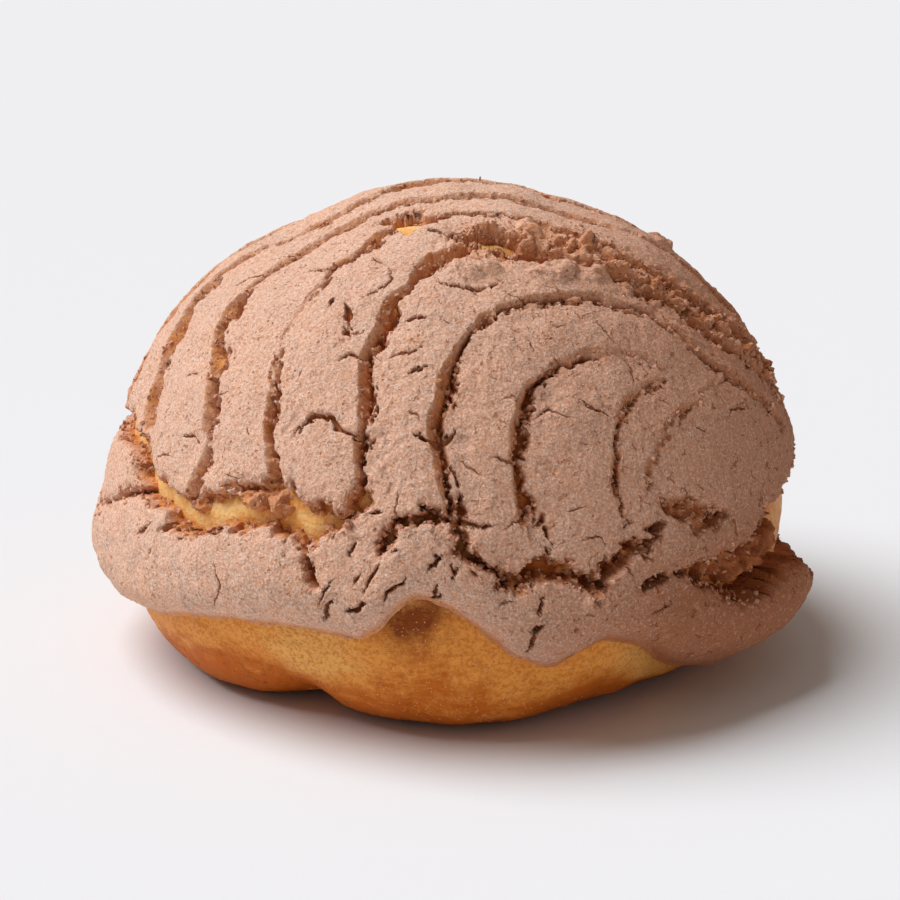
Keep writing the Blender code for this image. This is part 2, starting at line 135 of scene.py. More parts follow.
# The polar angle of the crust's lower edge, by longitude: it hangs in flaps and arches over the dough.
EDGE_OUTLINE = (
    (-90, 97.5), (-68, 96.8), (-55, 95.0), (-47, 92.6), (-38, 91.2), (-29, 90.0), (-18, 90.0), (-14, 90.2),
    (-11, 88.0), (-8, 84.9), (-5, 83.0), (-1, 84.0), (4, 87.6), (7, 90.2), (10, 92.8), (15, 94.6), (20, 93.6),
    (25, 91.8), (32, 94.0), (36, 97.2), (41, 100.4), (46, 102.3), (54, 103.2), (60, 102.2), (67, 101.0),
    (76, 100.6), (96, 101.5), (124, 98.5), (150, 98.5), (172, 92), (188, 91), (210, 97.5), (240, 97.5),
)

# Each groove of the stamp: its width, its depth and half the crack at its foot, in mm, and its map positions
# from the right side over the dome and down the front, each with its strength there.
GROOVES = (
    (1.7, 0.8, 0.0, ((48, -30, 0.3), (46, -35, 0.6), (41, -43, 0.6), (38.5, -50, 0.8), (37.6, -57, 0.9))),
    (1.8, 1.1, 0.12, ((37, -39, 0.4), (32.5, -44, 0.9), (30.5, -51, 1), (31.5, -59, 1), (34, -64, 0.5))),
    (2.8, 2.2, 0.55, (
        (34, -37, 0.2), (25, -40.5, 0.3), (17.5, -45.5, 0.8), (13.3, -52, 1), (12.4, -60, 1), (15, -69, 1))),
    (2.8, 2.3, 0.4, (
        (66, -17, 0.4), (50, -27, 0.5), (32, -28, 0.35), (15, -33.5, 0.5), (5, -40, 1), (0.5, -49, 1),
        (-1.8, -58, 1), (0.6, -70, 1))),
    (2.8, 2.3, 0.55, (
        (66, -8, 0.6), (50, -20, 0.9), (33, -22, 1), (17, -22.5, 0.8), (2, -24, 0.9), (-6, -31.5, 1),
        (-12.5, -42, 1), (-14.7, -53, 1), (-16, -62, 1), (-18, -67, 0.9))),
    (1.9, 1.4, 0.34, (
        (67, -1, 0.6), (52, -12, 0.9), (34, -16, 1), (16, -13, 0.8), (-3, -14, 0.5), (-14, -20.5, 1),
        (-23, -28, 0.3), (-28.5, -36, 0.4), (-31.5, -46, 1), (-33.6, -58, 1))),
    (2.8, 2.2, 0.4, (
        (66, 4, 0.6), (48, -1, 0.8), (28, -4, 0.6), (8, -4.5, 0.5), (-12, -7.5, 0.6), (-27, -13.5, 0.6),
        (-38, -21.5, 1), (-42.5, -33, 1), (-46.5, -45, 0.8), (-54, -50, 0.7))),
    (2.4, 2.0, 0.25, (
        (68, 9, 0.6), (50, 9, 0.9), (26, 9, 0.8), (2, 6.5, 0.8), (-20, -2, 0.8), (-38, -5, 0.9),
        (-50, -13, 1), (-61, -25, 0.8))),
    (2.6, 2.2, 0.3, (
        (68, 15, 0.6), (48, 20, 1), (24, 22, 1), (0, 20, 1), (-24, 13, 1), (-46, 5, 1), (-66, -5, 1))),
    (2.6, 2.2, 0.3, (
        (66, 23, 0.6), (46, 32, 1), (20, 36, 1), (-8, 34, 1), (-34, 26, 1), (-56, 15, 1), (-70, 8, 0.8))),
    (2.5, 2.2, 0.35, (
        (62, 33, 0.6), (44, 43, 1), (18, 49, 1), (-10, 48, 1), (-36, 40, 1), (-58, 30, 1), (-67, 24, 0.8))),
    (2.3, 2.0, 0.25, ((52, 48, 0.6), (34, 57, 1), (10, 63, 1), (-14, 62, 1), (-34, 56, 1), (-52, 46, 0.8))),
)

# The fissures part the dome's plates from the band below them, and two windows open near the top. Each of
# their places ends with the half-width in mm.
FISSURES = (
    ((-68, -17, 1.2), (-66.5, -21, 1.7),
     *seen((134, 446, 2), (138, 459, 2.1), (141, 474, 2.1), (146, 486.5, 2.1), (153, 492.5, 2.3),
        (162, 498, 2.4), (171, 507, 2.5), (180, 513.5, 2.7), (190, 516, 2.7), (197, 513.5, 2.8),
        (205, 514.5, 2.6), (215, 513.5, 2.7), (225, 509.5, 3.1), (235, 507.5, 3.2), (246, 506, 3.3),
        (256, 505.5, 3), (262, 506.5, 2.8), (268, 503, 3.4), (275, 504.5, 3.7), (283, 510, 3.4),
        (290, 516, 3), (298, 522.5, 2.8), (306, 528, 2.8), (313, 523, 3.2), (320, 520.5, 2.5),
        (328, 523.5, 1.6), (336, 523.5, 0.9), (345, 519, 0.9), (352, 514, 0.9), (358, 505.5, 1.1),
        (362, 495, 0.7))),
    seen((141, 487, 0.6), (132, 491, 0.4), (121, 494, 0.3), (112, 502, 0.3), (101, 505, 0.2)),
    ((-66, -20, 1.8), (-68.5, -12, 2.3), (-70.5, -3, 2.3), (-71.5, 6, 1.6), (-71, 14, 0.5)),
    seen((300, 538, 0.9), (306, 550, 0.6), (309, 566, 0.4), (313, 577, 0.3), (317, 584, 0.15)),
    seen((383, 549, 0.4), (388, 539, 0.9), (393, 526, 0.9), (401, 524.5, 0.8), (411, 521, 0.9),
         (422, 517.5, 0.8), (434, 516.5, 0.8), (445, 518, 0.7), (454, 524, 1.1), (460, 540.5, 1.2),
         (467, 553.5, 0.9), (476, 563, 0.7), (486, 567.5, 0.8), (496, 573, 1), (506, 578, 1.4),
         (516, 580, 1.4), (525, 575.5, 1.1), (535, 570, 1.1), (545, 567.5, 1.4), (555, 569, 1.4),
         (565, 572, 1.4), (575, 575, 1.4), (585, 582, 1.3), (592, 589, 1), (600, 582.5, 0.8),
         (606, 571, 1.4), (612, 564.5, 1.4), (620, 559.5, 1.1), (628, 553, 1.1), (636, 547, 1.3),
         (645, 542.5, 1.1), (654, 535.5, 0.9), (660, 526, 0.5)),
    seen((550, 566, 0.6), (547, 552, 0.6), (547, 538, 0.6), (545, 526, 0.6), (544, 517, 0.3)),
    (*seen((634, 584.5, 0.2), (649, 579, 0.3), (664, 575.5, 0.4), (672, 571, 0.6), (680, 569, 0.9),
        (690, 569, 1.3), (700, 570.5, 1.8), (710, 572.5, 2.4), (720, 573, 2.9), (730, 573.5, 3.4),
        (740, 572.5, 3.9), (750, 568, 4.2)),
     (72.5, -45.1, 4.5), (73.6, -40.4, 4.9), (75, -35.5, 5.4), (78.2, -28.2, 6.6), (83.2, -17.3, 8.2),
     (86.2, -2, 8.9), (85.7, 14, 7.9), (80.7, 30, 5.2), (74.5, 43, 2.8), (68, 51, 0.9)),
    ((-9.8, -13.2, 1), (-7.6, -13.9, 2.7), (-5.2, -14.4, 2.6), (-3, -14.8, 0.8)),
    ((1, -20.3, 0.5), (4, -20.8, 1.5), (8, -20.8, 1.7), (11.5, -20.4, 0.5)),
    ((41.8, -58.4, 0.4), (43.8, -58, 1.1), (47.4, -56.6, 1.6), (51, -55.2, 1.8), (53.9, -53.4, 1.3),
     (56.4, -50.5, 0.4)),
    ((52, 60, 0.7), (44, 65, 2), (34, 69, 2.6), (25, 72, 1.8), (18, 73, 0.6)),
    ((-20, 72, 0.7), (-34, 68, 2.4), (-48, 60, 3.2), (-60, 46, 2.8), (-68, 33, 1.6), (-73, 22, 0.6)),
)

# Lumps of torn paste that are left on the dough in the openings: place, sizes across and height in mm.
REMNANTS = (
    (49, -56.5, 13, 7, 1.9), (52.5, -56.5, 6, 5, 2.2), (60, -58, 7, 5, 1.3), (66, -53, 8, 6, 1.6),
    (71, -46, 8, 7, 1.7), (75, -38, 6, 7, 1.4), (-53, -51, 5, 3.6, 1.8), (-39.5, -58.6, 8, 3.6, 1.9),
    (-34.6, -62, 5.5, 5.4, 1.9),
    *seen((352, 511, 2.6, 2, 1.5), (316, 512, 2.3, 2, 1.2), (152, 470, 1.4, 2.9, 1), (515, 582, 4, 2.6, 2),
        (436, 516, 4.3, 1.1, 1), (566, 572, 3.7, 2.3, 1.4), (632, 552, 3.4, 2, 1.6),
        (690, 566, 3.4, 1.7, 1), (735, 575, 4.3, 2.6, 1.6), (762, 562, 2.9, 1.7, 2.4),
        (200, 526, 4.3, 1.1, 0.8), (160, 524, 2.9, 2.3, 1.4)),
    (30, 70, 3.5, 2, 1.4), (-45, 62, 4, 2.4, 1.5), (-58, 50, 3, 2, 1.3), (86, 8, 4, 3, 1.5),
)

# The valley of crumbled paste that runs down the right side: map positions.
RUBBLE = ((5, -22), (12, -20), (22, -18.5), (33, -19), (44, -17), (54, -12), (64, -4))

# Cracks and holes of the baked paste that the photo shows: the half-width in mm, then pixels along the crack.
CRACKS_SEEN = (
    (0.11, ((593, 322), (603, 335), (611, 344))),
    (0.14, ((625, 364), (630, 375), (633, 386))),
    (0.27, ((410.5, 374), (420, 370), (429.6, 368))),
    (0.17, ((390, 357), (405, 353), (422, 346))),
    (0.15, ((494, 458), (504, 461), (515, 464))),
    (0.14, ((461, 462), (468, 468), (477, 473))),
    (0.18, ((578, 403), (590, 410), (600, 413), (608, 418))),
    (0.18, ((535, 418), (547, 411), (556, 412), (568, 417))),
    (0.20, ((538, 382), (548, 374), (560, 364))),
    (0.11, ((580, 445), (588, 446))),
    (0.11, ((567, 511), (583, 507))),
    (0.12, ((620, 529), (626, 525), (632, 523))),
    (0.14, ((583, 541), (595, 537), (603, 543))),
    (0.17, ((721, 419), (727, 414), (733, 411))),
    (0.18, ((681, 419), (684, 413), (688, 409))),
    (0.12, ((712, 387), (724, 383))),
    (0.18, ((763, 401), (770, 412))),
    (0.12, ((690, 429), (699, 434))),
    (0.11, ((528, 343), (534, 351))),
    (0.10, ((490, 376), (497, 379))),
    (0.10, ((502, 399), (510, 397), (518, 400))),
    (0.11, ((553, 330), (563, 327))),
    (0.11, ((442, 322), (451, 325))),
    (0.30, ((405, 319), (416, 318), (428, 316))),
    (0.49, ((417, 435), (428, 440), (438, 442), (451, 432))),
    (0.34, ((440, 282), (452, 286), (465, 288), (480, 291), (497, 284))),
    (0.17, ((503, 293), (520, 300), (545, 306), (560, 303), (569, 298))),
    (0.18, ((188, 373.6), (197, 373.6))),
    (0.26, ((180, 435.5), (190, 436), (197, 443))),
    (0.18, ((155, 455), (165, 453.5))),
    (0.11, ((209, 393), (224, 391))),
    (0.27, ((329, 305), (334, 297))),
    (0.53, ((346, 304), (348, 313), (350, 322))),
    (0.45, ((344, 328), (349, 333))),
    (0.12, ((349, 332), (365, 330))),
    (0.24, ((339, 359), (347, 354.5), (361, 356.8))),
    (0.12, ((298, 377), (302.5, 370))),
    (0.35, ((294, 433), (303, 425), (315, 419), (327, 418), (335, 424), (345, 432), (357, 437))),
    (0.09, ((247, 426), (248.5, 434))),
    (0.09, ((222, 473), (230, 476), (238, 477))),
    (0.17, ((235, 284), (251, 274), (265, 270))),
    (0.21, ((268, 254), (280, 249), (296, 246), (308, 241))),
    (0.24, ((429, 229), (437, 231), (446, 236))),
    (0.20, ((388, 267), (390, 278), (381, 287), (368, 294))),
    (0.17, ((375, 256), (382, 261))),
    (0.26, ((308, 264), (320, 267), (333, 261))),
    (0.17, ((408, 413), (413, 415), (418, 419))),
    (0.24, ((371, 513), (381, 512))),
    (0.12, ((400, 492), (397, 506), (396, 517))),
    (0.14, ((219, 563), (222, 573), (225, 585), (222, 594), (216, 604))),
    (0.23, ((152, 556), (155, 549))),
    (0.24, ((139, 533), (150, 524))),
    (0.68, ((160, 530), (171, 521))),
    (0.53, ((133, 459), (136, 474))),
    (0.24, ((355, 541), (351, 549), (353.6, 556))),
    (0.21, ((356, 583), (361, 572))),
    (0.27, ((388, 596), (392, 587), (403, 582), (407, 576))),
    (0.30, ((431, 568), (436, 561), (442, 557))),
    (0.35, ((431, 596), (437, 592), (438, 585))),
    (0.38, ((351, 606), (360, 603), (367, 601))),
    (0.23, ((366, 590), (369, 580), (375, 573), (380, 563))),
    (0.30, ((327, 616), (330, 606), (336, 597))),
    (0.17, ((322, 604), (327, 594), (331, 586), (339, 577))),
    (0.18, ((452, 578), (458, 567))),
    (0.61, ((384, 551), (391, 536), (392, 521))),
    (0.12, ((499, 602), (504, 599), (511, 598))),
    (0.30, ((536, 609), (540, 598))),
    (0.24, ((529, 629), (536, 624), (541, 619))),
    (0.24, ((524, 647), (530, 636), (533, 626))),
    (0.12, ((644, 608), (654, 603), (662, 598))),
    (0.23, ((454, 577), (453, 564))),
    (0.23, ((634, 584), (649, 578), (664, 574))),
    (0.27, ((659, 498), (664, 501))),
    (0.12, ((615, 462), (618, 485), (620, 501), (626, 511))),
    (0.30, ((456, 518), (468, 524), (480, 527))),
    (0.23, ((480, 529), (492, 526))),
    (0.15, ((505, 527), (518, 523), (523, 517))),
    (0.23, ((470, 543), (463, 548))),
    (0.15, ((515, 590), (522, 583), (530, 579))),
    (0.15, ((627, 575), (622, 566))),
    (0.20, ((545, 205), (556, 214))),
)

# Cracks over the top and behind, which follow on: the half-width in mm, then map positions.
CRACKS_BEHIND = (
    (0.9, ((5, -22), (9, -24.5), (14, -23))),
    (0.9, ((-14, 26), (-6, 28), (3, 27))),
    (0.9, ((-40, 33), (-33, 36), (-27, 33))),
    (0.9, ((22, 42), (30, 40), (36, 42))),
    (0.7, ((-62, 58), (-66, 61), (-68, 66))),
    (0.7, ((58, 62), (60, 66), (64, 69))),
)
CRACKS = tuple((half, seen(*places)) for half, places in CRACKS_SEEN) + CRACKS_BEHIND

# Crags and crumbs that stand up where the paste broke: map position, sizes across and height in mm.
CRAGS = (
    (3.0, -28.8, 10.0, 4.6, 1.2), (5.0, -18.6, 5.0, 4.6, 0.9), (11.0, -20.0, 6.0, 4.2, 0.9),
    (12.5, -15.5, 4.0, 4.0, 0.9), (17.0, -26.6, 9.0, 4.6, 1.0), (23.5, -24.4, 6.4, 4.0, 0.9),
    (22.0, -16.9, 3.6, 3.4, 1.6), (27.0, -20.5, 4.2, 3.6, 0.8), (33.5, -20.6, 4.4, 3.8, 1.0),
    (39.0, -18.4, 4.2, 3.6, 0.8), (35.5, 1.5, 5.6, 4.4, 0.8), (46.0, -17.6, 4.0, 3.4, 0.8),
    (31.5, -78.5, 4.4, 3.8, 0.7), (-6.0, 24.0, 4.6, 4.2, 1.2), (14.0, 27.0, 5.0, 4.0, 1.1),
)

# The grid that the surfaces share. Its columns stand closer together at the front.
COLUMNS = 1024
FRONT_CROWDING = 20.0
ROW_STEP = 0.26
INNER_COLUMNS = 128
DOUGH_ROWS = (100, 66)
EDGE_ROWS = 30
SAMPLE = 0.5
OVERLAP = 0.8
CRACK_REACH = 1.1

# The crust's edge is usually this far down, in degrees. Grooves and fissures are looked for this far from
# their curves, in mm, for so many directions at a time.
USUAL_EDGE = 95.0
GROOVE_REACH = 9.0
FISSURE_REACH = 14.0
CHUNK = 20000

# The streaks of the baked dough lie flat: their waves are longer sideways than upwards.
STREAK_SHARES = (0.45, 0.45, 1.5)

# A piece's wall goes down into the dough in steps, with depths in mm. The rolled edge goes round in steps, up
# in rises of some degrees and to an inner ring at a share of the way to the edge.
WALL_DEPTHS = (0.5, 0.7, 0.9, 1.1)
DEEPEST = WALL_DEPTHS[-1]
ROLL_STEPS = 8
ROLL_RISES = (1.5, 4.0, 7.0)
INNER_SHARE = 0.9

# The scattered shapes: how many square centimetres a square metre holds, the waves of their uneven form in
# mm, and its height against their size.
PER_SQUARE_CM = 1e4
GRAIN_WAVES = 0.5
UNEVENNESS = {"crumb": 0.9, "grain": 0.15}

# The crust's pieces, from the top down: each ends at this share of the way to the crust's edge.
CRUST_PIECES = (("crust_crown", 0.42), ("crust_plates", 0.62), ("crust_rim", 0.81), ("crust_band", 1.0))


def bell(distance, half_width):
    """A soft bump: 1 in the middle and nearly 0 at twice the half-width."""
    return np.exp(-((distance / half_width) ** 2))


def ramp(start, end, value):
    """Rises smoothly from 0 at start to 1 at end."""
    t = np.clip((value - start) / (end - start), 0.0, 1.0)
    return t * t * (3.0 - 2.0 * t)


def turn_between(a, b):
    """The smaller turn from longitude b to longitude a, in degrees."""
    return (a - b + 180.0) % 360.0 - 180.0


def from_map(u, v):
    return np.degrees(np.arctan2(u, -v)), np.hypot(u, v)


def direction(longitude, polar):
    turn, tilt = np.radians(longitude), np.radians(polar)
    parts = (np.sin(turn) * np.sin(tilt), -np.cos(turn) * np.sin(tilt), np.cos(tilt))
    return np.stack(np.broadcast_arrays(*parts), axis=-1)


def spline(a, b, c, d, t):
    """The value at t between b and c of the smooth curve that also runs through a and d."""
    return 0.5 * (2 * b + (c - a) * t + (2 * a - 5 * b + 4 * c - d) * t**2 + (3 * b - a - 3 * c + d) * t**3)


def round_curve(outline, longitude):
    """The values of a smooth closed curve through pairs of longitude and value."""
    first = outline[0][0]
    ends = np.array([(at - first) % 360.0 for at, _ in outline] + [360.0])
    values = np.array([value for _, value in outline])
    turn = (longitude - first) % 360.0
    last = np.clip(np.searchsorted(ends, turn, side="right") - 1, 0, len(values) - 1)
    a, b, c, d = (values[(last + k) % len(values)] for k in (-1, 0, 1, 2))
    return spline(a, b, c, d, (turn - ends[last]) / (ends[last + 1] - ends[last]))


def smooth_path(points, step):
    """Points about one step apart on a smooth curve through tuples that begin with a map position."""
    points = [np.array(point, float) for point in points]
    path = []
    for i in range(len(points) - 1):
        before, after = points[max(i - 1, 0)], points[min(i + 2, len(points) - 1)]
        count = max(1, round(math.dist(points[i][:2], points[i + 1][:2]) / step))
        path += [spline(before, points[i], points[i + 1], after, k / count) for k in range(count)]
    return np.array(path + [points[-1]])


def bun_radius(longitude, polar):
    """From the dome's centre to the dough: a ball above the widest line and a rounded foot below it."""
    drop = np.radians(np.maximum(polar - 90.0, 0.0))
    base = round_curve(BASE_OUTLINE, longitude)
    out, down, bulge = np.cos(drop), np.sin(drop), BUN_RADIUS - base
    square = (out / bulge) ** 2 + (down / CENTRE_HEIGHT) ** 2
    half = out * base / bulge**2
    rest = (base / bulge) ** 2 - 1.0
    foot = (half + np.sqrt(np.maximum(0.0, half**2 - square * rest))) / square
    foot = np.minimum(foot, CENTRE_HEIGHT / np.maximum(down, 1e-6))
    radius = np.where(drop > 0.0, foot, BUN_RADIUS)
    turn, share = np.radians(longitude), np.minimum(1.0, polar / 60.0)
    waves = 0.4 * np.cos(3 * turn - 1.1) + 0.25 * np.cos(5 * turn + 2.0)
    radius = radius + share * waves - share**2 * BACK_FLATTENING * ((1 - np.cos(turn)) / 2) ** 3
    for at, height_at, wide, tall, rise in DOUGH_FORMS:
        radius = radius + rise * bell(turn_between(longitude, at), wide) * bell(polar - height_at, tall)
    return radius


def edge_polar(longitude):
    return round_curve(EDGE_OUTLINE, longitude)


def crust_inside(longitude, polar):
    wide, tall = FLARE_HALF_WIDTHS
    flap = bell(turn_between(longitude, FLARE_LONGITUDE), wide)
    stand_off = FLARE * flap * bell(polar - (edge_polar(longitude) - FLARE_RISE), tall)
    return bun_radius(longitude, polar) + CRUST_GAP + stand_off


def crust_outside(longitude, polar, thickness):
    band = BAND_EXTRA * bell(polar - (edge_polar(longitude) - BAND_RISE), BAND_HALF_WIDTH)
    return crust_inside(longitude, polar) + thickness + band


def lattice_noise(points, seed):
    """Smooth noise between about -1 and 1, with one wave or so to a unit of length."""
    rng = np.random.default_rng(seed)
    table = rng.permutation(256)
    slopes = rng.normal(size=(256, 3)).astype(np.float32)
    slopes /= np.linalg.norm(slopes, axis=1, keepdims=True)
    cell = np.floor(points).astype(np.int64)
    part = (points - cell).astype(np.float32)
    ease = part**3 * (part * (part * 6 - 15) + 10)
    total = np.zeros(len(points), np.float32)
    for corner in np.ndindex(2, 2, 2):
        spot = (cell + corner) & 255
        pick = table[(table[(table[spot[:, 0]] + spot[:, 1]) & 255] + spot[:, 2]) & 255]
        weight = np.prod(np.where(corner, ease, 1 - ease), axis=1)
        total += weight * np.sum(slopes[pick] * (part - np.array(corner, np.float32)), axis=1)
    return total * 1.6


def layered_noise(points, size, layers, seed):
    """Noise whose largest waves measure size in mm, with finer layers of half the size and height."""
    total, height = 0.0, 1.0
    for layer in range(layers):
        total = total + height * lattice_noise(points / size, seed + layer)
        size, height = size / 2.0, height / 2.0
    return total


def blocks(points, size, seed):
    """Angular blocks of about that size in mm, as things break.

    Returns a value of each point's block, from -0.5 to 0.5, and how far in the point lies: 0 at the block's
    border, about 1 in its middle.
    """
    rng = np.random.default_rng(seed)
    table = rng.permutation(256)
    spots = rng.random((256, 4)).astype(np.float32)
    scaled = (points / size).astype(np.float32)
    cell = np.floor(scaled).astype(np.int64)
    first, second = (np.full(len(points), 9.0, np.float32) for _ in range(2))
    value = np.zeros(len(points), np.float32)
    for step in np.ndindex(3, 3, 3):
        near = cell + step - 1
        pick = table[(table[(table[near[:, 0] & 255] + near[:, 1]) & 255] + near[:, 2]) & 255]
        away = np.linalg.norm(near + spots[pick, :3] - scaled, axis=1)
        closer = away < first
        second = np.where(closer, first, np.minimum(second, away))
        value = np.where(closer, spots[pick, 3], value)
        first = np.where(closer, away, first)
    return value - 0.5, np.minimum((second - first) * 1.6, 1.0)


def shaken(points, size, height, layers, seed):
    """Directions moved sideways by noise, so that whatever is cut along them gets ragged edges."""
    shift = [layered_noise(points * CRUST_RADIUS, size, layers, seed + 31 * axis) for axis in range(3)]
    moved = points + np.stack(shift, axis=1) * height / CRUST_RADIUS
    return moved / np.linalg.norm(moved, axis=1, keepdims=True)


def beside(path, points, reach):
    """Which directions lie within reach of a path on the dome, how far in mm, and the path's values there.

    The distance is negative on the outer side of a groove's curve.
    """
    spots = direction(*from_map(path[:, 0], path[:, 1]))
    middle = spots.mean(axis=0)
    middle /= np.linalg.norm(middle)
    widest = math.acos(max(-1.0, float((spots @ middle).min()))) + reach / CRUST_RADIUS
    picked = np.flatnonzero(points @ middle > math.cos(min(widest, math.pi)))
    here = points[picked]
    nearest = np.zeros(len(picked), int)
    for start in range(0, len(picked), CHUNK):
        block = slice(start, start + CHUNK)
        nearest[block] = np.argmax(here[block] @ spots.T, axis=1)
    ahead = np.gradient(spots, axis=0)
    ahead /= np.linalg.norm(ahead, axis=1, keepdims=True)
    side = np.cross(spots, ahead)
    offset = (here - spots[nearest]) * CRUST_RADIUS
    forward = np.sum(offset * ahead[nearest], axis=1)
    sideways = np.sum(offset * side[nearest], axis=1)
    past = np.where(nearest == 0, np.minimum(forward, 0), 0)
    past = np.where(nearest == len(path) - 1, np.maximum(forward, 0), past)
    distance = np.hypot(sideways, past) * np.where(sideways < 0, -1.0, 1.0)
    close = np.abs(distance) < reach
    return picked[close], distance[close], path[nearest[close], 2:]


def groove_profile(distance, half):
    """How deep a groove is, from 0 to 1: a cut wall on its outer side, a foot and a slow inner rise."""
    wall = np.clip((distance + half) / (0.85 * half), 0.0, 1.0)
    inner = 1.0 - 0.62 * ramp(half * 0.35, half * 0.75, distance)
    slow = 1.0 - ramp(half * 0.7, half + 4.5, distance)
    return wall * inner * slow


def cut_grooves(place, points, jagged):
    """The stamped grooves' depth in mm, the share of the crack at their foot, and where their walls are."""
    wavy = shaken(points, 7.0, 0.45, 3, 40)
    variation = 1.0 + 0.25 * lattice_noise(place / 5.0, 8)
    gaps = 0.9 + 1.3 * lattice_noise(place / 3.5, 14)
    uneven = lattice_noise(place / 6.0, 17)
    depth, foot, wall = (np.zeros(len(points)) for _ in range(3))
    for width, deep, gap, curve in GROOVES:
        picked, distance, values = beside(smooth_path(curve, SAMPLE), wavy, GROOVE_REACH)
        strength = values[:, 0] * np.clip(0.9 + 0.5 * uneven[picked], 0.3, 1.3)
        half = width / 2 * (0.4 + 0.6 * strength) * (1.0 + 0.35 * uneven[picked])
        inward = distance + jagged[picked] * (0.35 + 0.65 * ramp(-0.5, 0.2, distance))
        carved = deep * strength * groove_profile(inward, half) * variation[picked]
        depth[picked] = np.maximum(depth[picked], carved)
        slit = np.abs(inward - 0.1 * half) - gap * strength * gaps[picked]
        opened = (1 - ramp(-0.12, 0.14, slit)) * (gap > 0) * ramp(0.2, 0.5, strength)
        foot[picked] = np.maximum(foot[picked], opened)
        steep = ramp(-half - 0.05, -half + 0.2, inward)
        steep = steep * (1 - ramp(half * 0.4, half * 0.8, inward)) * strength
        wall[picked] = np.maximum(wall[picked], steep)
    return depth, foot, wall


def stand(place, points, lumps, roughness):
    """The height in mm of lumps given by map position, sizes across and height."""
    lifted = np.zeros(len(points))
    for u, v, wide, tall, height in lumps:
        middle = direction(*from_map(u, v))
        picked = np.flatnonzero(points @ middle > math.cos(max(wide, tall) / CRUST_RADIUS))
        spot = (points[picked] - middle) * CRUST_RADIUS
        east = np.cross((0, 0, 1), middle)
        east /= np.linalg.norm(east)
        north = np.cross(middle, east)
        across = np.hypot(spot @ east / (wide / 2), spot @ north / (tall / 2))
        across = across + roughness * layered_noise(place[picked], 1.8, 3, 60)
        bump = height * (1 - ramp(0.45, 1.1, across)) * (1 + 0.3 * lattice_noise(place[picked] / 1.3, 61))
        lifted[picked] = np.maximum(lifted[picked], bump)
    return lifted


def open_fissures(place, points, jagged):
    """The share of the rim fissures' broken edge, of their whole depth, and how near their edge is."""
    ragged = shaken(points, 3.0, 0.4, 2, 70)
    edge, deep, rim = (np.zeros(len(points)) for _ in range(3))
    rough = 1.1 * blocks(place, 1.7, 76)[0] + 0.3 * layered_noise(place, 1.5, 2, 77)
    for curve in FISSURES:
        picked, distance, values = beside(smooth_path(curve, SAMPLE), ragged, FISSURE_REACH)
        beyond = np.abs(distance) - values[:, 0] + jagged[picked] * np.minimum(1.3, 0.5 + values[:, 0])
        edge[picked] = np.maximum(edge[picked], 1 - ramp(-0.18, 0.16, beyond))
        inner = np.minimum(values[:, 0] * 0.45, 0.8)
        uneven = rough[picked] * np.minimum(1.0, values[:, 0] / 1.5)
        down = 1 - ramp(-inner - 0.25, -inner + 0.15, beyond + uneven)
        deep[picked] = np.maximum(deep[picked], down)
        rim[picked] = np.maximum(rim[picked], bell(np.maximum(beyond, 0), 0.9))
    return edge, deep, rim


def swelling(points):
    """How far in mm the dough swells out into the rim fissures."""
    rise = np.zeros(len(points))
    for curve in FISSURES:
        picked, distance, values = beside(smooth_path(curve, SAMPLE), points, FISSURE_REACH)
        half = values[:, 0]
        share = np.where(points[picked, 2] > 0.9, 1.2, 0.42)
        swollen = np.minimum(half * share, 1.9) * bell(distance, half * 0.8 + 0.6)
        rise[picked] = np.maximum(rise[picked], swollen)
    return rise


def cut_cracks(points, jagged):
    """The signed distance from the nearest crack's middle, its half-width there and its share of depth."""
    slight = shaken(points, 2.0, 0.25, 3, 80)
    away, wide = np.full(len(points), CRACK_REACH), np.full(len(points), -1.0)
    chip = np.zeros(len(points))
    for half, curve in CRACKS:
        path = smooth_path(curve, SAMPLE / 2)
        shares = np.sin(np.linspace(0.08, math.pi - 0.08, len(path)))
        path = np.column_stack((path, half * (0.2 + 0.8 * shares)))
        picked, distance, values = beside(path, slight, CRACK_REACH)
        distance = distance + jagged[picked] * min(0.8, 0.3 + half)
        nearer = values[:, 0] - np.abs(distance) > wide[picked] - np.abs(away[picked])
        picked, distance, width = picked[nearer], distance[nearer], values[nearer, 0]
        away[picked], wide[picked] = distance, width
        chip[picked] = (1 - ramp(-0.25, 0.08, np.abs(distance) - width)) * min(0.42, 0.05 + half)
    return away, wide, chip


